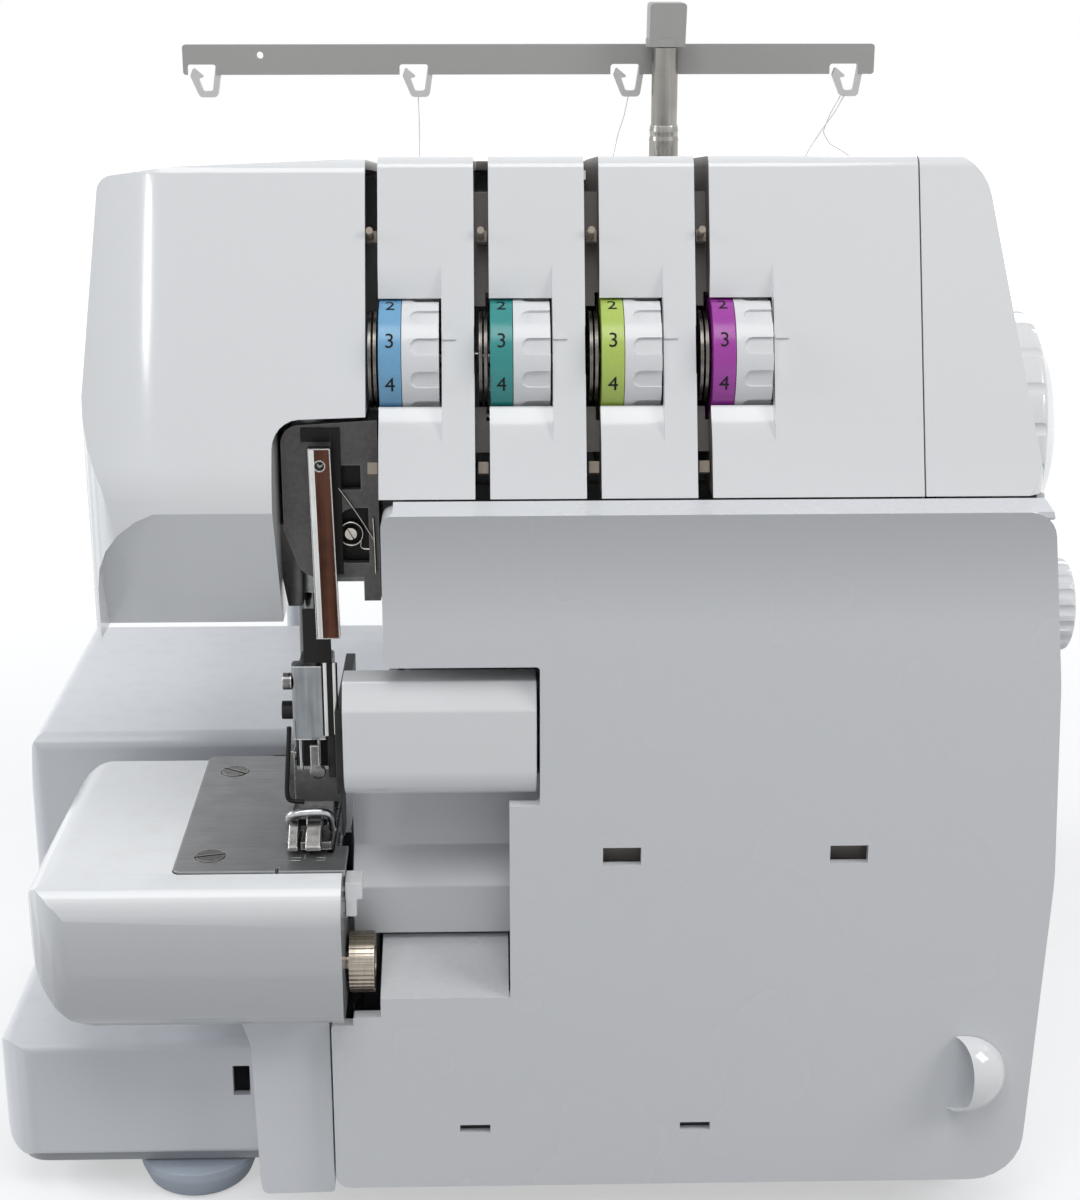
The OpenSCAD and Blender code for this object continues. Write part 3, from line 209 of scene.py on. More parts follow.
surround = bpy.data.worlds.new("white_surround")
bpy.context.scene.world = surround
surround.use_nodes = True
sky = surround.node_tree
room = sky.nodes["Background"]
room.inputs["Color"].default_value = (0.93, 0.96, 1.0, 1)
room.inputs["Strength"].default_value = 0.285
seen_room = node(sky, "Background", Color=(1, 1, 1, 1), Strength=1.0)
sky_mix = node(sky, "MixShader")
seen_factor = white_for_view(sky)
sky.links.new(seen_factor.outputs[0], sky_mix.inputs[0])
sky.links.new(room.outputs[0], sky_mix.inputs[1])
sky.links.new(seen_room.outputs[0], sky_mix.inputs[2])
sky.links.new(sky_mix.outputs[0], sky.nodes["World Output"].inputs["Surface"])

clear()
table_wide, table_gap = 6.0, 0.0002
bpy.ops.mesh.primitive_plane_add(size=table_wide, location=(0, 0, -table_gap))
table = bpy.context.object
table.name = "table_top"
table_white = bpy.data.materials.new("table_white")
table_white.use_nodes = True
top_tree = table_white.node_tree
top_tree.nodes.remove(top_tree.nodes["Principled BSDF"])
top_lit = node(top_tree, "BsdfDiffuse", Color=(0.50, 0.505, 0.51, 1))
top_glow = node(top_tree, "Emission", Color=(1, 1, 1, 1))
top_sum = node(top_tree, "AddShader")
top_place = node(top_tree, "TexCoord")
top_far = node(top_tree, "VectorMath", {"operation": "LENGTH"})
top_fade = node(top_tree, "MapRange", {"interpolation_type": "SMOOTHSTEP"}, i1=0.25, i2=1.3, i3=0.5, i4=1.0)
top_tree.links.new(top_place.outputs["Object"], top_far.inputs[0])
top_tree.links.new(top_far.outputs["Value"], top_fade.inputs[0])
top_share = white_for_view(top_tree)
top_level = node(top_tree, "Math", {"operation": "MULTIPLY"})
top_tree.links.new(top_share.outputs[0], top_level.inputs[0])
top_tree.links.new(top_fade.outputs[0], top_level.inputs[1])
top_tree.links.new(top_level.outputs[0], top_glow.inputs["Strength"])
top_tree.links.new(top_lit.outputs[0], top_sum.inputs[0])
top_tree.links.new(top_glow.outputs[0], top_sum.inputs[1])
top_tree.links.new(top_sum.outputs[0], top_tree.nodes["Material Output"].inputs["Surface"])
paint(table, table_white)


def lamp(name, place, aim, wide, high, watts, tint):
    """A flat soft lamp that shines from its place towards its aim."""
    data = bpy.data.lights.new(name, "AREA")
    data.shape, data.size, data.size_y, data.energy, data.color = "RECTANGLE", wide, high, watts, tint
    body = bpy.data.objects.new(name, data)
    bpy.context.scene.collection.objects.link(body)
    body.location = place
    ray = [b - a for a, b in zip(place, aim)]
    level = math.hypot(ray[0], ray[1])
    body.rotation_euler = (math.atan2(level, -ray[2]), 0, math.atan2(ray[1], ray[0]) - math.pi / 2)


lamp("overhead_lamp", (-0.1, -0.8, 1.5), (0, 0, 0.1), 0.9, 0.7, 7.4, (1.0, 1.0, 1.0))
lamp("left_lamp", (-1.5, 0.0, 0.9), (-0.05, -0.05, 0.18), 0.7, 0.7, 12.5, (0.94, 0.97, 1.0))
lamp("right_lamp", (1.3, -0.7, 1.1), (0, 0, 0.15), 0.7, 0.7, 9.2, (1.0, 0.99, 0.98))
lamp("streak_lamp", (-0.82, -1.42, 1.26), (-0.1, -0.1, 0.25), 0.08, 0.2, 1.3, (1.0, 1.0, 1.0))
lamp("rear_lamp", (0.9, 1.6, 1.2), (0, 0, 0.15), 1.0, 0.8, 10.0, (1.0, 1.0, 1.0))
bpy.context.scene.view_settings.view_transform = "Standard"

# ---- Base tray and rubber feet ----
# The tray is a light grey moulding that closes the machine underneath, with eyes for the
# hinge rod. The stems of four soft round feet are pushed up into holes in it.
def pick(piece):
    """Selects this piece alone and makes it the active one."""
    clear()
    piece.select_set(True)
    bpy.context.view_layer.objects.active = piece


def soften(name, width, segments=2):
    """A merged copy of a CAD node with its edges rounded off, which stands for the node."""
    source = frame["nodes"][name]
    piece = bpy.data.objects.new(name + "_finished", source.data.copy())
    bpy.context.scene.collection.objects.link(piece)
    pick(piece)
    if piece.data.has_custom_normals:
        bpy.ops.mesh.customdata_custom_splitnormals_clear()
    bpy.ops.object.mode_set(mode="EDIT")
    bpy.ops.mesh.select_all(action="SELECT")
    bpy.ops.mesh.remove_doubles(threshold=0.000008)
    bpy.ops.mesh.dissolve_limited(angle_limit=math.radians(0.6))
    bpy.ops.object.mode_set(mode="OBJECT")
    rounding = piece.modifiers.new("rounding", "BEVEL")
    rounding.width, rounding.segments = width * MM, segments
    rounding.limit_method, rounding.angle_limit = "ANGLE", math.radians(28)
    rounding.use_clamp_overlap = True
    rounding.miter_outer = "MITER_ARC"
    bpy.ops.object.modifier_apply(modifier="rounding")
    bpy.ops.object.shade_smooth_by_angle(angle=math.radians(32))
    evened = piece.modifiers.new("evened", "WEIGHTED_NORMAL")
    evened.keep_sharp, evened.weight = True, 60
    bpy.ops.object.modifier_apply(modifier="evened")
    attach(piece, next(b for b, names in frame["record"]["behaviour"]["bodies"].items() if name in names))
    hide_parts(name)
    return piece


skin, skin_in, skin_out = node_group(
    "mould_skin",
    [("Tint", "Color", (1, 1, 1, 1)), ("Shade", "Color", (1, 1, 1, 1)), ("Grain", "Float", 2200.0),
     ("Smooth", "Float", 0.2), ("Spread", "Float", 0.1), ("Dust", "Float", 0.2)],
    [("Color", "Color"), ("Roughness", "Float"), ("Height", "Float")])
skin_place = node(skin, "TexCoord")
skin_cloud = node(skin, "TexNoise", i2=14.0, i3=0.0)
skin.links.new(skin_place.outputs["Object"], skin_cloud.inputs["Vector"])
skin_even = node(skin, "MapRange", i1=0.2, i2=0.8)
skin_fine = node(skin, "TexNoise", i3=2.0)
skin.links.new(skin_place.outputs["Object"], skin_fine.inputs["Vector"])
skin.links.new(skin_in.outputs["Grain"], skin_fine.inputs["Scale"])
skin.links.new(skin_fine.outputs["Fac"], skin_out.inputs["Height"])
skin_speckle = node(skin, "Mix", {"data_type": "FLOAT"}, i0=0.65)
skin.links.new(skin_cloud.outputs["Fac"], skin_speckle.inputs[2])
skin.links.new(skin_fine.outputs["Fac"], skin_speckle.inputs[3])
skin.links.new(skin_speckle.outputs[0], skin_even.inputs[0])
skin_tint = node(skin, "Mix", {"data_type": "RGBA"})
skin.links.new(skin_even.outputs[0], skin_tint.inputs[0])
skin.links.new(skin_in.outputs["Tint"], skin_tint.inputs[6])
skin.links.new(skin_in.outputs["Shade"], skin_tint.inputs[7])
skin_up = node(skin, "NewGeometry")
skin_part = node(skin, "SeparateXYZ")
skin.links.new(skin_up.outputs["Normal"], skin_part.inputs[0])
skin_top = node(skin, "MapRange", i1=0.75, i2=1.0)
skin.links.new(skin_part.outputs["Z"], skin_top.inputs[0])
skin_fluff = node(skin, "TexNoise", i2=160.0, i3=5.0)
skin.links.new(skin_place.outputs["Object"], skin_fluff.inputs["Vector"])
skin_specks = node(skin, "MapRange", i1=0.5, i2=0.78)
skin.links.new(skin_fluff.outputs["Fac"], skin_specks.inputs[0])
skin_lie = node(skin, "Math", {"operation": "MULTIPLY"})
skin.links.new(skin_top.outputs[0], skin_lie.inputs[0])
skin.links.new(skin_specks.outputs[0], skin_lie.inputs[1])
skin_share = node(skin, "Math", {"operation": "MULTIPLY"})
skin.links.new(skin_lie.outputs[0], skin_share.inputs[0])
skin.links.new(skin_in.outputs["Dust"], skin_share.inputs[1])
skin_dusty = node(skin, "Mix", {"data_type": "RGBA"}, i7=(0.52, 0.50, 0.47, 1))
skin.links.new(skin_share.outputs[0], skin_dusty.inputs[0])
skin.links.new(skin_tint.outputs[2], skin_dusty.inputs[6])
skin.links.new(skin_dusty.outputs[2], skin_out.inputs["Color"])
skin_hand = node(skin, "TexNoise", i2=30.0, i3=0.5)
skin.links.new(skin_place.outputs["Object"], skin_hand.inputs["Vector"])
skin_swing = node(skin, "Math", {"operation": "SUBTRACT"}, i1=0.5)
skin.links.new(skin_hand.outputs["Fac"], skin_swing.inputs[0])
skin_amount = node(skin, "Math", {"operation": "MULTIPLY"})
skin.links.new(skin_swing.outputs[0], skin_amount.inputs[0])
skin.links.new(skin_in.outputs["Spread"], skin_amount.inputs[1])
skin_rough = node(skin, "Math", {"operation": "ADD"})
skin.links.new(skin_amount.outputs[0], skin_rough.inputs[0])
skin.links.new(skin_in.outputs["Smooth"], skin_rough.inputs[1])
skin_rougher = node(skin, "Math", {"operation": "ADD", "use_clamp": True})
skin.links.new(skin_rough.outputs[0], skin_rougher.inputs[0])
skin.links.new(skin_share.outputs[0], skin_rougher.inputs[1])
skin.links.new(skin_rougher.outputs[0], skin_out.inputs["Roughness"])


def moulding(name, tint, shade, smooth, spread, grain, bump, dust=0.15, **constants):
    """A moulded plastic or rubber with its own tint, gloss and surface grain."""
    material, tree, shader = finish(name, **constants)
    source = grouped(tree, skin, Tint=(*tint, 1), Shade=(*shade, 1), Grain=grain, Smooth=smooth,
                     Spread=spread, Dust=dust)
    wear(tree, shader, source, bump, 0.0001)
    return material


def dress(name, width, material, segments=2):
    """Softens a CAD node and gives it its finish."""
    piece = soften(name, width, segments)
    paint(piece, material)


grey_tray = moulding("grey_tray_plastic", (0.46, 0.47, 0.49), (0.41, 0.42, 0.44), 0.48, 0.15, 3200.0, 0.35)
foot_rubber = moulding("foot_rubber", (0.50, 0.56, 0.64), (0.43, 0.48, 0.55), 0.62, 0.2, 5200.0, 0.5,
                       Specular_IOR_Level=0.35)
dress("base_tray", 0.5, grey_tray)
dress("rubber_feet", 0.4, foot_rubber)

# ---- Lower left housings and bed ----
# Satin white ABS shells screwed to the tray: the low box under the free arm, the box of the
# bed behind it and the post that carries the arm.
white_satin = moulding("white_satin_abs", (0.735, 0.748, 0.775), (0.722, 0.736, 0.764), 0.30, 0.06, 1100.0,
                       0.03)
white_gloss = moulding("white_gloss_abs", (0.80, 0.81, 0.82), (0.787, 0.80, 0.81), 0.115, 0.04, 900.0, 0.02,
                       Coat_Weight=0.35, Coat_Roughness=0.05)
for name, width in (("base_box", 0.6), ("bed_box", 0.8), ("arm_post", 0.5)):
    dress(name, width, white_satin)

# ---- Free arm, needle plate and its screws ----
# The arm is a glossy ABS shell. The plate is stamped from 1.6 mm steel, brushed and plated,
# and held by two slotted screws whose heads are 8 mm across. Its stitch marks are fine strokes.
brush, brush_in, brush_out = node_group(
    "brush_lines",
    [("Tint", "Color", (1, 1, 1, 1)), ("Shade", "Color", (1, 1, 1, 1)), ("Stretch", "Vector", (1, 1, 1)),
     ("Smooth", "Float", 0.3), ("Spread", "Float", 0.2), ("Rub", "Float", 0.5)],
    [("Color", "Color"), ("Roughness", "Float"), ("Height", "Float")])
brush_place = node(brush, "TexCoord")
brush_scale = node(brush, "Mapping")
brush.links.new(brush_place.outputs["Object"], brush_scale.inputs["Vector"])
brush.links.new(brush_in.outputs["Stretch"], brush_scale.inputs["Scale"])
brush_line = node(brush, "TexNoise", i2=1.0, i3=4.0)
brush.links.new(brush_scale.outputs[0], brush_line.inputs["Vector"])
brush_blot = node(brush, "TexNoise", i2=120.0, i3=3.0)
brush.links.new(brush_place.outputs["Object"], brush_blot.inputs["Vector"])
brush_mean = node(brush, "Math", {"operation": "MULTIPLY_ADD"}, i1=0.6)
brush_part = node(brush, "Math", {"operation": "MULTIPLY"}, i1=0.4)
brush.links.new(brush_blot.outputs["Fac"], brush_part.inputs[0])
brush.links.new(brush_line.outputs["Fac"], brush_mean.inputs[0])
brush.links.new(brush_part.outputs[0], brush_mean.inputs[2])
brush_even = node(brush, "MapRange", i1=0.36, i2=0.64)
brush.links.new(brush_mean.outputs[0], brush_even.inputs[0])
brush_tint = node(brush, "Mix", {"data_type": "RGBA"})
brush.links.new(brush_even.outputs[0], brush_tint.inputs[0])
brush.links.new(brush_in.outputs["Tint"], brush_tint.inputs[6])
brush.links.new(brush_in.outputs["Shade"], brush_tint.inputs[7])
brush_round = node(brush, "Bevel", {"samples": 4}, Radius=0.0006)
brush_true = node(brush, "NewGeometry")
brush_dot = node(brush, "VectorMath", {"operation": "DOT_PRODUCT"})
brush.links.new(brush_round.outputs[0], brush_dot.inputs[0])
brush.links.new(brush_true.outputs["Normal"], brush_dot.inputs[1])
brush_edge = node(brush, "MapRange", i1=1.0, i2=0.90)
brush.links.new(brush_dot.outputs["Value"], brush_edge.inputs[0])
brush_rub = node(brush, "Math", {"operation": "MULTIPLY"})
brush.links.new(brush_edge.outputs[0], brush_rub.inputs[0])
brush.links.new(brush_in.outputs["Rub"], brush_rub.inputs[1])
brush_worn = node(brush, "Mix", {"data_type": "RGBA"}, i7=(0.80, 0.80, 0.79, 1))
brush.links.new(brush_rub.outputs[0], brush_worn.inputs[0])
brush.links.new(brush_tint.outputs[2], brush_worn.inputs[6])
brush.links.new(brush_worn.outputs[2], brush_out.inputs["Color"])
brush_swing = node(brush, "Math", {"operation": "SUBTRACT"}, i1=0.5)
brush.links.new(brush_mean.outputs[0], brush_swing.inputs[0])
brush_amount = node(brush, "Math", {"operation": "MULTIPLY"})
brush.links.new(brush_swing.outputs[0], brush_amount.inputs[0])
brush.links.new(brush_in.outputs["Spread"], brush_amount.inputs[1])
brush_rough = node(brush, "Math", {"operation": "ADD", "use_clamp": True})
brush.links.new(brush_amount.outputs[0], brush_rough.inputs[0])
brush.links.new(brush_in.outputs["Smooth"], brush_rough.inputs[1])
brush.links.new(brush_rough.outputs[0], brush_out.inputs["Roughness"])
brush.links.new(brush_line.outputs["Fac"], brush_out.inputs["Height"])


def metal(name, tint, shade, stretch, smooth, spread, bump=0.12, rub=0.4, metallic=1.0):
    """A worked metal, with its lines stretched along its own direction and its edges rubbed bright."""
    material, tree, shader = finish(name, Metallic=metallic)
    source = grouped(tree, brush, Tint=(*tint, 1), Shade=(*shade, 1), Stretch=stretch,
                     Smooth=smooth, Spread=spread, Rub=rub)
    wear(tree, shader, source, bump, 0.00005)
    return material


swell, swell_in, swell_out = node_group(
    "soft_swell", [("Along", "Vector", (0.0, 0.0, 1.0)), ("Start", "Float", 0.0), ("Radius", "Float", 0.06)],
    [("Height", "Float")])
swell_place = node(swell, "TexCoord")
swell_reach = node(swell, "VectorMath", {"operation": "DOT_PRODUCT"})
swell.links.new(swell_place.outputs["Object"], swell_reach.inputs[0])
swell.links.new(swell_in.outputs["Along"], swell_reach.inputs[1])
swell_gap = node(swell, "Math", {"operation": "SUBTRACT"})
swell.links.new(swell_reach.outputs["Value"], swell_gap.inputs[0])
swell.links.new(swell_in.outputs["Start"], swell_gap.inputs[1])
swell_past = node(swell, "Math", {"operation": "MAXIMUM"}, i1=0.0)
swell.links.new(swell_gap.outputs[0], swell_past.inputs[0])
swell_square = node(swell, "Math", {"operation": "MULTIPLY"})
swell.links.new(swell_past.outputs[0], swell_square.inputs[0])
swell.links.new(swell_past.outputs[0], swell_square.inputs[1])
swell_rise = node(swell, "Math", {"operation": "DIVIDE"})
swell.links.new(swell_square.outputs[0], swell_rise.inputs[0])
swell.links.new(swell_in.outputs["Radius"], swell_rise.inputs[1])
swell_half = node(swell, "Math", {"operation": "MULTIPLY"}, i1=0.5)
swell.links.new(swell_rise.outputs[0], swell_half.inputs[0])
swell.links.new(swell_half.outputs[0], swell_out.inputs["Height"])


def swollen(material, name, along, start, radius):
    """A copy of a finish that shades a face as if it curved past a start. The mesh stays as it is."""
    made = material.copy()
    made.name = name
    tree = made.node_tree
    bump = next(n for n in tree.nodes if n.type == "BUMP")
    curve = grouped(tree, swell, Along=along, Start=start * MM, Radius=radius * MM)
    under = node(tree, "Bump", Strength=1.0, Distance=1.0)
    tree.links.new(curve.outputs["Height"], under.inputs["Height"])
    tree.links.new(under.outputs["Normal"], bump.inputs["Normal"])
    return made


# The finish shades the sides of the arm as if they curved below its top.
arm_gloss = swollen(white_gloss, "arm_gloss", (0.0, 0.0, -1.0), -114.0, -52.0)
dress("arm_cover", 0.5, arm_gloss)
plate_steel = metal("plate_steel", (0.33, 0.335, 0.34), (0.27, 0.275, 0.28), (90, 2600, 90), 0.46, 0.25)
dress("needle_plate", 0.25, plate_steel)
screw_steel = metal("screw_steel", (0.20, 0.195, 0.185), (0.12, 0.115, 0.11), (1600, 500, 500), 0.34, 0.3,
                    rub=0.5)
plate_screws = soften("needle_plate_screws", 0.35)
paint(plate_screws, screw_steel)
# The rims and the slots of the screw heads are painted near-black, a painted shade in these recesses.
screw_slot_shade = moulding("screw_slot_shade", (0.02, 0.019, 0.018), (0.012, 0.011, 0.011), 0.6, 0.2, 1500.0, 0.1)
plate_screws.data.materials.append(screw_slot_shade)
plate_top, widest_shaded_face = 109.6, 0.000009
for face in plate_screws.data.polygons:
    if face.center.z < (plate_top + 0.02) * MM or (abs(face.normal.z) < 0.3 and face.area < widest_shaded_face):
        face.material_index = 1
stamp_steel = metal("stamp_steel", (0.60, 0.60, 0.59), (0.48, 0.48, 0.47), (500, 500, 500), 0.5, 0.2)
guide_strokes = ((-70.4, -122.6, 2.6, 0.3), (-70.4, -120.9, 2.6, 0.3), (-66.9, -121.2, 0.3, 2.2),
                 (-66.2, -118.4, 0.3, 1.6), (-63.6, -122.6, 2.4, 0.3), (-63.6, -120.9, 2.4, 0.3),
                 (-61.6, -122.6, 0.3, 2.0))
stroke_thick = 0.06


def fix_on(piece, material, body):
    """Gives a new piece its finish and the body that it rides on."""
    paint(piece, material)
    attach(piece, body)


for index, (left, near, wide, deep) in enumerate(guide_strokes):
    clear()
    bpy.ops.mesh.primitive_cube_add(size=1, location=point(left + wide / 2, near + deep / 2, plate_top))
    stroke = bpy.context.object
    stroke.name, stroke.scale = f"guide_stroke_{index + 1}", point(wide, deep, stroke_thick)
    bpy.ops.object.transform_apply(location=True, rotation=True, scale=True)
    bpy.ops.object.mode_set(mode="EDIT")
    bpy.ops.mesh.select_all(action="SELECT")
    bpy.ops.mesh.bevel(offset=0.00002, segments=1)
    bpy.ops.object.mode_set(mode="OBJECT")
    fix_on(stroke, stamp_steel, "machine")

# ---- Head cover and upper covers ----
# The head, the four towers, the end and the top are high-gloss ABS mouldings that meet at
# fine seams, with edges rounded by 0.5 to 0.7 mm. The finish of the head shades its left side
# as if it curved softly.
slot_shade_taupe = moulding("slot_shade_taupe", (0.20, 0.182, 0.168), (0.14, 0.126, 0.115), 0.42, 0.2, 1800.0, 0.1)
head_gloss = swollen(white_gloss, "head_gloss", (-1.0, 0.0, 0.0), 95.0, -62.0)
first_slot, slot_wide, slot_margin, tower_pitch = -48.1, 3.4, 0.15, 28.3
slot_spans = [(first_slot + tower_pitch * step - slot_margin,
               first_slot + slot_wide + tower_pitch * step + slot_margin) for step in range(4)]
for name, width in (("head_cover", 0.7), ("tension_panel", 0.7), ("end_cover", 0.7), ("top_cover", 0.5)):
    shell = soften(name, width)
    paint(shell, head_gloss if name == "head_cover" else white_gloss)
    if name in ("tension_panel", "top_cover"):
        # The faces within the slots between the towers are painted a darker, less glossy taupe, a painted
        # shade for the recesses.
        shell.data.materials.append(slot_shade_taupe)
        for face in shell.data.polygons:
            if any(left * MM < face.center.x < right * MM for left, right in slot_spans):
                face.material_index = 1

# ---- Side and rear covers ----
# Satin white ABS covers screwed to the frame, with slots that let the motor's heat out. The
# side cover also holds the mains inlet and the rocker, and the two shafts pass through it.
for name, width in (("side_cover", 0.5), ("rear_cover", 0.4)):
    dress(name, width, white_satin)

# ---- Frame, needle bar bracket, shafts and bearings ----
# A cast aluminium frame carries the main shaft in two bronze bushes and the bracket of the
# needle bar. The castings are left as they come from the mould, the shaft is ground.
cast_grey = metal("cast_aluminium", (0.36, 0.365, 0.37), (0.28, 0.285, 0.29), (700, 700, 700), 0.52, 0.2, 0.5,
                  metallic=0.85)
ground_steel = metal("ground_steel", (0.50, 0.50, 0.50), (0.36, 0.36, 0.36), (1800, 90, 90), 0.26, 0.15)
bush_bronze = metal("bush_bronze", (0.52, 0.38, 0.20), (0.40, 0.28, 0.14), (1500, 120, 120), 0.32, 0.2)
for name in ("inner_frame", "bar_bracket"):
    dress(name, 0.5, cast_grey, 1)
for name, material, slot in (("main_shaft", ground_steel, "satin_steel"),
                             ("motor_pulley", ground_steel, "satin_steel"),
                             ("hinge_carrier", ground_steel, "satin_steel"),
                             ("shaft_bearings", bush_bronze, "bronze")):
    dress(name, 0.2, material, 1)

# ---- Motor and belt ----
# The motor is in a black enamelled can, and a black rubber belt takes its turn up to the main
# shaft.
black_enamel_and_shade = moulding("black_enamel_and_shade", (0.028, 0.029, 0.032), (0.02, 0.02, 0.022), 0.35, 0.2, 1800.0, 0.2)
belt_rubber = moulding("belt_rubber", (0.018, 0.018, 0.019), (0.013, 0.013, 0.014), 0.7, 0.2, 4200.0, 0.5)
dress("motor", 0.5, black_enamel_and_shade, 1)
dress("drive_belt", 0.2, belt_rubber, 1)

# ---- Knife guard and waste chute ----
# The guard is a glossy white shell in front of the knives. Behind the waste opening a bent
# satin chute leads the trimmings forward.
dress("knife_guard", 0.4, white_gloss)
dress("waste_chute", 0.25, white_satin)

# ---- Front cover ----
# One large satin ABS door on the hinge rod, which slides to the right by 8 mm and then swings
# down. Its finish shades the face under the top edge as if it curved softly. A half-round grip
# for the thumb is set on it.
front_satin = moulding("front_satin_abs", (0.70, 0.712, 0.735), (0.690, 0.702, 0.725), 0.27, 0.05, 900.0,
                       0.03, dust=0.1)
door_satin = swollen(front_satin, "door_satin", (0.0, 0.0, 1.0), 177.0, 78.0)
dress("front_cover", 0.6, door_satin)


def cut_by(piece, tool):
    """Cuts a piece with a tool body, and removes the tool."""
    pick(piece)
    cut = piece.modifiers.new("cut", "BOOLEAN")
    cut.operation, cut.object, cut.solver = "DIFFERENCE", tool, "EXACT"
    bpy.ops.object.modifier_apply(modifier="cut")
    bpy.data.objects.remove(tool)


def settle(piece):
    """Moves the piece's place into its mesh."""
    pick(piece)
    bpy.ops.object.transform_apply(location=True, rotation=True, scale=True)


def round_off(piece, width, segments=2, turn=30):
    """Rounds the edges, smooths the faces and keeps flat faces flat."""
    pick(piece)
    if width:
        rounding = piece.modifiers.new("rounding", "BEVEL")
        rounding.width, rounding.segments = width * MM, segments
        rounding.limit_method, rounding.angle_limit = "ANGLE", math.radians(turn)
        bpy.ops.object.modifier_apply(modifier="rounding")
    bpy.ops.object.shade_smooth_by_angle(angle=math.radians(turn))
    evened = piece.modifiers.new("evened", "WEIGHTED_NORMAL")
    evened.keep_sharp = True
    bpy.ops.object.modifier_apply(modifier="evened")


def shave(piece, place, facing):
    """Cuts off what lies past a plane, and closes the cut."""
    on_plane = 0.000001  # Blender's own 0.1 mm is too coarse here: it leaves a small cut open.
    pick(piece)
    bpy.ops.object.mode_set(mode="EDIT")
    bpy.ops.mesh.select_all(action="SELECT")
    bpy.ops.mesh.bisect(plane_co=point(*place), plane_no=facing, use_fill=True, clear_outer=True,
                        threshold=on_plane)
    bpy.ops.object.mode_set(mode="OBJECT")


def ball(place, radii, segments=64, rings=40):
    """A ball with its own radius along each axis."""
    clear()
    bpy.ops.mesh.primitive_uv_sphere_add(segments=segments, ring_count=rings, radius=1,
                                         location=point(*place))
    made = bpy.context.object
    made.scale = [r * MM for r in radii]
    settle(made)
    return made


def slab(name, low, high, width):
    """A block between two corners, with its edges rounded by this width."""
    clear()
    bpy.ops.mesh.primitive_cube_add(size=1, location=point(*[(a + b) / 2 for a, b in zip(low, high)]))
    made = bpy.context.object
    made.name, made.scale = name, [(b - a) * MM for a, b in zip(low, high)]
    settle(made)
    round_off(made, width)
    return made


# The grip is a half dome with a crescent cut out for the thumb. It is cut as a closed body, and
# then only its domed shell stays, open towards the thumb and the door.
door_face_y = -130.3
grip_middle, grip_radii = (111.6, door_face_y, 47.6), (12.0, 9.2, 11.2)
grip = ball(grip_middle, grip_radii)
grip.name = "thumb_grip_finished"
shave(grip, (0, door_face_y, 0), (0, 1, 0))
scoop = ball((91.4, -137.0, 49.0), (22.0, 16.0, 24.0))
cut_by(grip, scoop)
bpy.ops.object.mode_set(mode="EDIT")
bpy.ops.mesh.select_all(action="DESELECT")
form = bmesh.from_edit_mesh(grip.data)
for face in form.faces:
    away = [(c - m * MM) / r ** 2 for c, m, r in zip(face.calc_center_median(), grip_middle, grip_radii)]
    along_dome = sum(a * n for a, n in zip(away, face.normal)) / math.hypot(*away)
    face.select_set(along_dome < 0.8)
bmesh.update_edit_mesh(grip.data)
bpy.ops.mesh.delete(type="FACE")
bpy.ops.object.mode_set(mode="OBJECT")
round_off(grip, 0.25, 2, 40)
paint(grip, white_gloss)
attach(grip, "front_door")
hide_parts("thumb_grip")

# ---- Shade sheets behind the latch windows ----
# Behind the two upper windows of the door stands a taupe sheet, behind the two lower slots a black one: dark
# sheets that paint the shade inside the windows, so that no light shows through.
window_shade_taupe = moulding("window_shade_taupe", (0.30, 0.27, 0.25), (0.25, 0.22, 0.2), 0.5, 0.15, 1500.0, 0.08)
for index, (low, high, material, slot) in enumerate((
        ((11.0, -124.2, 109.2), (24.4, -123.4, 117.6), window_shade_taupe, "white_satin"),
        ((71.2, -124.2, 109.2), (84.6, -123.4, 117.6), window_shade_taupe, "white_satin"),
        ((-27.2, -127.4, 29.4), (-16.5, -126.6, 34.0), black_enamel_and_shade, "black_plastic"),
        ((33.4, -127.4, 29.4), (44.1, -126.6, 34.0), black_enamel_and_shade, "black_plastic"))):
    blind = slab(f"window_shade_sheet_{index + 1}", low, high, 0.15)
    fix_on(blind, material, "front_door")

# ---- Tension dials ----
# Each dial is a fluted white knob with a coloured ring pressed on its left end. The ring
# carries plain black numbers. The dial turns on the spindle of its pair of tension discs.
ring_tints = {"blue": (0.175, 0.420, 0.665), "teal": (0.028, 0.300, 0.290), "lime": (0.480, 0.640, 0.125),
              "purple": (0.395, 0.045, 0.390)}
dial_white = moulding("dial_white_abs", (0.80, 0.81, 0.82), (0.76, 0.77, 0.785), 0.22, 0.12, 1500.0, 0.05)
number_black = moulding("number_black", (0.006, 0.007, 0.009), (0.008, 0.009, 0.011), 0.6, 0.1, 3000.0, 0.05,
                        Specular_IOR_Level=0.2)
tower_left, dial_radius = first_slot + slot_wide, 16.2
dial_axis_y, dial_axis_z = -96.998, 239.947
# Nine numbers stand round each ring, with the 2 well up on its front.
ring_middle, number_high, two_at_deg, number_step_deg = 3.1, 5.4, 67, 40
number_thick, number_raised, number_sunk = 0.0001, 0.00007, 0.00005
dial_bodies = ("dial_one", "dial_two", "dial_three", "dial_four")


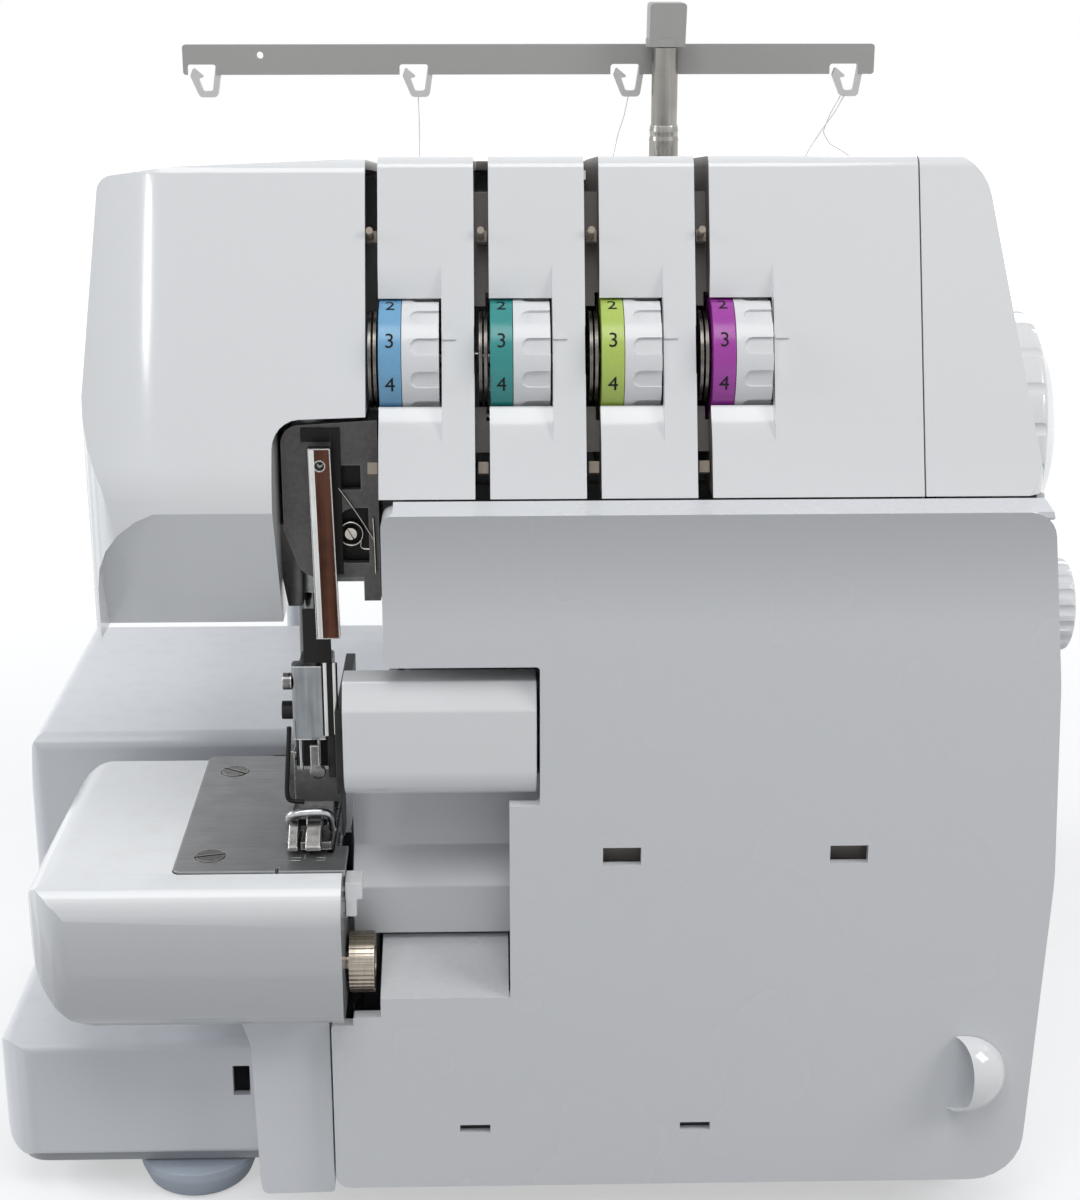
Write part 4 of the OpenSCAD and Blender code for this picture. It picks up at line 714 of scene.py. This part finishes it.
def wrap_number(sign, turn_deg, mid_x, high):
    """A number bent round the ring, with its foot towards the operator's side of the turn."""
    clear()
    bpy.ops.object.text_add(location=(0, 0, 0))
    made = bpy.context.object
    made.data.body, made.data.size = sign, high * MM
    made.data.align_x, made.data.align_y = "CENTER", "CENTER"
    bpy.ops.object.convert(target="MESH")
    bpy.ops.object.mode_set(mode="EDIT")
    bpy.ops.mesh.select_all(action="SELECT")
    bpy.ops.mesh.remove_doubles(threshold=0.000005)
    bpy.ops.mesh.subdivide(number_cuts=2)
    bpy.ops.mesh.extrude_region_move(TRANSFORM_OT_translate={"value": (0, 0, number_thick)})
    bpy.ops.object.mode_set(mode="OBJECT")
    for spot in made.data.vertices:
        out = dial_radius * MM + (number_raised if spot.co.z > number_thick / 2 else -number_sunk)
        turn = math.radians(turn_deg) + spot.co.y / (dial_radius * MM)
        spot.co = (mid_x * MM + spot.co.x, dial_axis_y * MM - out * math.cos(turn),
                   dial_axis_z * MM + out * math.sin(turn))
    bpy.ops.object.mode_set(mode="EDIT")
    bpy.ops.mesh.select_all(action="SELECT")
    bpy.ops.mesh.normals_make_consistent(inside=False)
    bpy.ops.object.mode_set(mode="OBJECT")
    return made


for place, (ring_name, ring_tint) in enumerate(ring_tints.items()):
    dress(f"dial_{place + 1}", 0.35, dial_white)
    ring_shade = tuple(0.86 * part for part in ring_tint)
    ring_plastic = moulding(f"ring_{ring_name}", ring_tint, ring_shade, 0.24, 0.12, 1500.0, 0.05, dust=0.0)
    dress(f"band_{place + 1}", 0.3, ring_plastic)
    signs = []
    for digit in range(1, 10):
        signs.append(wrap_number(str(digit), two_at_deg - number_step_deg * (digit - 2),
                                 tower_left + place * tower_pitch + ring_middle, number_high))
    clear()
    for sign in signs:
        sign.select_set(True)
    bpy.context.view_layer.objects.active = signs[0]
    bpy.ops.object.join()
    numbers = bpy.context.object
    numbers.name = f"ring_numbers_{place + 1}"
    fix_on(numbers, number_black, dial_bodies[place])

# ---- Tension discs and thread guides ----
# A pair of polished steel discs on each dial's spindle grips the thread in the slot. Beige
# ceramic pegs lead it in above them and out below.
disc_steel = metal("disc_steel", (0.16, 0.145, 0.13), (0.07, 0.063, 0.056), (500, 500, 500), 0.26, 0.2,
                   rub=0.15)
dress("tension_discs", 0.15, disc_steel, 1)
guide_beige = moulding("guide_ceramic", (0.40, 0.34, 0.275), (0.33, 0.28, 0.225), 0.3, 0.2, 1500.0, 0.05)
dress("thread_guides", 0.2, guide_beige, 1)

# ---- Needle area ----
# Steel parts in the opening of the head: a dark cast plate, a bright thread channel, the
# needle clamp with its two needles, the presser bar and its foot, the knives, the feed dog and
# the loopers.
plate_cast = metal("head_plate_cast", (0.125, 0.12, 0.12), (0.10, 0.096, 0.095), (800, 800, 800), 0.5, 0.15,
                   0.3, rub=0.12, metallic=0.6)
bright_plating = metal("bright_plating", (0.17, 0.17, 0.175), (0.09, 0.09, 0.095), (500, 500, 20), 0.2, 0.1,
                       0.05)
channel_plating = metal("channel_plating", (0.03, 0.014, 0.01), (0.085, 0.038, 0.026), (420, 420, 6), 0.34,
                        0.1, 0.05, rub=1.0)
clamp_steel = metal("clamp_steel", (0.26, 0.275, 0.285), (0.18, 0.19, 0.2), (700, 700, 60), 0.26, 0.2, 0.06,
                    rub=0.9)
foot_steel = metal("foot_steel", (0.20, 0.195, 0.19), (0.10, 0.097, 0.094), (500, 500, 500), 0.26, 0.2,
                   rub=0.9)
black_steel = metal("blackened_steel_and_shade", (0.022, 0.021, 0.021), (0.012, 0.011, 0.011), (300, 1400, 300), 0.4,
                    0.2, rub=0.06, metallic=0.5)
edge_steel = metal("edge_steel", (0.50, 0.51, 0.52), (0.40, 0.41, 0.42), (1500, 90, 90), 0.2, 0.1)
# The ankle of the foot gets the blackened steel as well, as a painted shade for the dark space between the
# clamp and the foot.
for name, material, width, slot in (
        ("head_plate", plate_cast, 0.4, "cast_frame"),
        ("needle_bar", bright_plating, 0.2, "bright_steel"),
        ("presser_bar", bright_plating, 0.2, "bright_steel"),
        ("needle_clamp", clamp_steel, 0.2, "satin_steel"), ("foot_ankle", black_steel, 0.3, "satin_steel"),
        ("presser_foot", foot_steel, 0.25, "satin_steel"), ("upper_knife", black_steel, 0.2, "black_steel"),
        ("lower_knife", edge_steel, 0.05, "satin_steel"), ("feed_dog", edge_steel, 0.05, "satin_steel"),
        ("lower_looper", edge_steel, 0.2, "satin_steel"), ("upper_looper", edge_steel, 0.2, "satin_steel")):
    dress(name, width, material)


def drawn_wire(name, route, across, material, body):
    """A bent wire along the route, as a closed tube."""
    data = bpy.data.curves.new(name, "CURVE")
    data.dimensions, data.bevel_depth, data.bevel_resolution = "3D", across / 2 * MM, 3
    data.use_fill_caps, data.resolution_u = True, 6
    line = data.splines.new("NURBS")
    line.points.add(len(route) - 1)
    for knot, place in zip(line.points, route):
        knot.co = (*point(*place), 1)
    line.use_endpoint_u, line.order_u = True, 3
    made = bpy.data.objects.new(name, data)
    bpy.context.scene.collection.objects.link(made)
    pick(made)
    bpy.ops.object.convert(target="MESH")
    made = bpy.context.object
    bpy.ops.object.shade_smooth_by_angle(angle=math.radians(50))
    fix_on(made, material, body)


def slotted_screw(name, place, axis, radius, high, slot_turn, material, body):
    """A turned screw head with a sawn slot, facing left (axis 0) or towards the operator (axis 1)."""
    clear()
    spin = (0, math.radians(-90), 0) if axis == 0 else (math.radians(90), 0, 0)
    bpy.ops.mesh.primitive_cylinder_add(vertices=36, radius=radius * MM, depth=high * MM,
                                        location=point(*place), rotation=spin)
    made = bpy.context.object
    made.name = name
    settle(made)
    face_centre = list(place)
    face_centre[axis] -= high / 2
    bpy.ops.mesh.primitive_cube_add(size=1, location=point(*face_centre))
    saw = bpy.context.object
    across = 1 - axis
    saw.scale[axis], saw.scale[across], saw.scale[2] = point(high * 0.9, 0.24 * radius, 2.4 * radius)
    settle(saw)
    cosine, sine = math.cos(math.radians(slot_turn)), math.sin(math.radians(slot_turn))
    for spot in saw.data.vertices:
        side, up = spot.co[across] - place[across] * MM, spot.co[2] - place[2] * MM
        spot.co[across] = place[across] * MM + side * cosine - up * sine
        spot.co[2] = place[2] * MM + side * sine + up * cosine
    cut_by(made, saw)
    round_off(made, 0.18, 2, 40)
    fix_on(made, material, body)


# The channel is pressed from bright sheet: a rim all round, a deeper floor in a dark brown tone
# and a thread hole near its top. It leans to the right towards its foot.
channel_foot, channel_top, channel_middle = 168.4, 219.8, -60.2
channel_high = channel_top - channel_foot
channel_rim = metal("channel_rim", (0.62, 0.63, 0.62), (0.42, 0.42, 0.41), (500, 500, 12), 0.24, 0.1, 0.04)
channel = slab("thread_channel_finished", (-63.1, -112.2, channel_foot), (-57.4, -109.2, channel_top), 0)
bpy.ops.object.mode_set(mode="EDIT")
bpy.ops.mesh.select_all(action="DESELECT")
form = bmesh.from_edit_mesh(channel.data)
for face in form.faces:
    face.select_set(face.normal.y < -0.5)
bmesh.update_edit_mesh(channel.data)
bpy.ops.mesh.inset(thickness=0.0013)
bpy.ops.mesh.extrude_region_move(TRANSFORM_OT_translate={"value": (0, 0.0011, 0)})
channel.data.materials.append(channel_rim)
channel.data.materials.append(channel_plating)
form = bmesh.from_edit_mesh(channel.data)
for face in form.faces:
    face.material_index = 1 if face.select else 0
bmesh.update_edit_mesh(channel.data)
bpy.ops.object.mode_set(mode="OBJECT")


def share_down(spot):
    """How far down the channel a point of a mesh lies, from 0 at its top to 1 at its foot."""
    return (channel_top * MM - spot.co.z) / (channel_high * MM)


for spot in channel.data.vertices:
    spot.co.x += share_down(spot) * (0.7 if spot.co.x < channel_middle * MM else 1.2) * MM
cut_by(channel, ball((channel_middle, -111.6, 215.2), (1.3, 2.6, 1.3), 32, 16))
round_off(channel, 0.18, 2, 40)
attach(channel, "machine")
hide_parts("thread_channel")

channel_lip = slab("channel_lip", (-62.9, -112.5, 168.6), (-61.5, -112.1, 219.6), 0.15)
for spot in channel_lip.data.vertices:
    spot.co.x += share_down(spot) * 0.9 * MM
fix_on(channel_lip, channel_rim, "machine")

# Behind the channel: the left cheek of the casting, dark sheets that paint the shade in the pocket, in the
# square hole and in the gaps beside the channel, and the check spring on its boss with two wires.
cheek = slab("casting_cheek", (-72.2, -103.6, 174.6), (-66.3, -99.0, 197.5), 0.8)
shave(cheek, (-70.2, 0, 174.6), (-0.96, 0, -0.16))
fix_on(cheek, plate_cast, "machine")
# Near-black: the finish of the wire finger and the collar, and the painted shade of the sheets behind the
# channel and in the gap.
black_and_painted_shade = moulding("black_and_painted_shade", (0.014, 0.012, 0.011), (0.008, 0.007, 0.0065), 0.5, 0.2, 1800.0, 0.2,
                       Specular_IOR_Level=0.25)
for name, low, high in (("pocket_blind", (-57.2, -100.9, 185.5), (-46.2, -100.2, 203.5)),
                        ("hole_blind", (-56.4, -100.9, 206.0), (-49.4, -100.2, 214.6)),
                        ("channel_shade", (-57.6, -105.1, 184.0), (-55.2, -104.7, 223.6)),
                        ("bar_shade", (-65.4, -105.1, 219.9), (-57.8, -104.7, 223.6))):
    fix_on(slab(name, low, high, 0.15), black_and_painted_shade, "machine")
spring_steel = metal("spring_steel", (0.50, 0.47, 0.42), (0.30, 0.28, 0.25), (400, 400, 400), 0.2, 0.1,
                     rub=0.3)
boss_x, boss_z = -53.2, 194.6
coil_radius, coil_turns, coil_steps, coil_pitch = 3.2, 4, 14, 0.5
coil = [(boss_x + coil_radius * math.cos(k / coil_steps * math.tau), -101.4 - coil_pitch * k / coil_steps,
         boss_z + coil_radius * math.sin(k / coil_steps * math.tau)) for k in range(coil_steps * coil_turns)]
drawn_wire("check_spring", coil + [(-51.0, -103.6, 190.2), (-47.6, -103.8, 190.6)], 0.5, spring_steel,
           "machine")
slotted_screw("spring_boss", (boss_x, -102.4, boss_z), 1, 1.6, 2.0, 30, spring_steel, "machine")
drawn_wire("check_wire", [(-56.0, -105.2, 207.6), (-52.5, -105.4, 202.8), (-47.4, -105.2, 194.2),
                          (-46.9, -105.0, 193.0)], 0.45, spring_steel, "machine")
drawn_wire("stay_wire", [(-47.2, -105.0, 199.4), (-46.9, -105.2, 195.0), (-46.8, -105.2, 184.4)], 0.6,
           spring_steel, "machine")

# On the needle drive: a slotted clamp screw at its left, a dark collar, a dark sheet that paints the shade in
# the gap, and two bright strips. The black wire finger guards the needles and rides with the presser.
slotted_screw("clamp_screw_upper", (-71.2, -105.4, 154.3), 0, 2.3, 2.4, 20, foot_steel, "needle_drive")
drawn_wire("needle_guard_wire", [(-70.8, -109.3, 142.6), (-71.0, -109.4, 139.0), (-71.7, -109.5, 130.0),
                                 (-72.2, -109.5, 122.4), (-71.0, -109.5, 121.0), (-67.4, -109.4, 120.9)], 1.3,
           black_and_painted_shade, "presser")
for name, low, high, material, slot in (
        ("drive_collar", (-66.3, -109.0, 160.6), (-59.0, -107.3, 175.4), black_and_painted_shade, "black_plastic"),
        ("drive_gap", (-61.9, -107.9, 139.4), (-57.6, -107.2, 160.2), black_and_painted_shade, "black_plastic"),
        ("drive_strip_left", (-61.4, -108.2, 139.4), (-60.3, -107.7, 160.4), channel_rim, "bright_steel"),
        ("drive_strip_right", (-58.9, -108.2, 139.8), (-57.9, -107.7, 160.4), channel_rim, "bright_steel")):
    fix_on(slab(name, low, high, 0.2), material, "needle_drive")

# On the foot: a strut with its joint, a back plate, a bowed bridge and two toes whose tops
# slope down to their tips. The holder stands beside the upper knife and moves with it.
for name, low, high, material, slot in (
        ("foot_strut", (-65.4, -110.0, 129.6), (-63.0, -109.0, 137.4), foot_steel, "satin_steel"),
        ("foot_back", (-70.2, -105.4, 119.2), (-58.0, -104.8, 128.6), plate_cast, "cast_frame")):
    fix_on(slab(name, low, high, 0.2), material, "foot")
joint = ball((-63.5, -109.6, 129.9), (2.2, 0.8, 2.2), 32, 16)
joint.name = "foot_joint"
fix_on(joint, foot_steel, "foot")
bow = [(-71.4, -110.6, 113.4), (-71.8, -113.0, 116.6), (-71.2, -114.6, 119.0), (-69.4, -115.0, 120.0),
       (-66.0, -115.1, 120.3), (-62.4, -115.0, 120.4), (-60.4, -114.4, 119.6), (-59.7, -112.6, 116.8),
       (-59.8, -110.6, 113.4)]
drawn_wire("foot_bridge", bow, 2.1, edge_steel, "foot")
toe_tip_y = -120.0
for index, (left, right) in enumerate(((-71.4, -68.6), (-66.8, -62.4))):
    toe = slab(f"foot_toe_{index + 1}", (left, toe_tip_y, 110.9), (right, -108.4, 117.6), 0)
    shave(toe, (0, toe_tip_y, 112.0), (0, -0.62, 0.78))
    round_off(toe, 0.5, 3, 25)
    fix_on(toe, foot_steel, "foot")
holder = slab("knife_holder", (-60.9, -106.6, 126.6), (-58.5, -98.0, 151.0), 0.5)
fix_on(holder, black_steel, "knife")

# ---- Finger lever, width knob and length knob ----
# A small white lever for the stitch finger, a knurled bronze knob for the cutting width and a
# fluted white knob for the stitch length.
bronze_knurl = metal("nickel_bronze", (0.40, 0.34, 0.27), (0.27, 0.225, 0.175), (1400, 200, 200), 0.3, 0.2)
dress("finger_lever", 0.4, white_gloss)
dress("width_knob", 0.2, bronze_knurl, 1)
dress("length_knob", 0.35, dial_white)

# ---- Handwheel, mains inlet and rocker ----
# The wheel is a glossy dished moulding pressed on the main shaft. The inlet and the rocker
# are black, in the right side near the table.
dress("handwheel", 0.4, white_gloss)
black_plastic = moulding("black_plastic", (0.022, 0.022, 0.024), (0.03, 0.03, 0.032), 0.42, 0.15, 2600.0,
                         0.25)
for name, width in (("power_inlet", 0.5), ("power_rocker", 0.4)):
    dress(name, width, black_plastic)

# ---- Presser lifter, spool stand and spool pins ----
# Satin white mouldings at the rear. The pins stand in holes of the stand, each with a cone
# round it that steadies the spool.
for name, width in (("lifter_lever", 0.8), ("spool_stand", 0.8), ("spool_pins", 0.3)):
    dress(name, width, white_satin)

# ---- Thread pole and bar ----
# Two drawn steel tubes slide in each other. The bar, the block that grips the upper tube and
# the four hooks are one grey moulding, with the hooks in a paler tone.
tube_steel = metal("tube_steel", (0.36, 0.345, 0.32), (0.26, 0.25, 0.23), (700, 700, 12), 0.24, 0.15, 0.05)
bar_grey = moulding("bar_grey", (0.38, 0.374, 0.362), (0.345, 0.338, 0.328), 0.42, 0.12, 2600.0, 0.15)
for name, width in (("pole_tube", 0.15), ("tree_tube", 0.2)):
    dress(name, width, tube_steel)
hook_grey = moulding("hook_grey", (0.64, 0.635, 0.62), (0.58, 0.575, 0.56), 0.3, 0.1, 2600.0, 0.1)
hooks_below = 299.0
bar = soften("tree_bar", 0.25)
paint(bar, bar_grey)
bar.data.materials.append(hook_grey)
for face in bar.data.polygons:
    if face.center.z < hooks_below * MM:
        face.material_index = 1
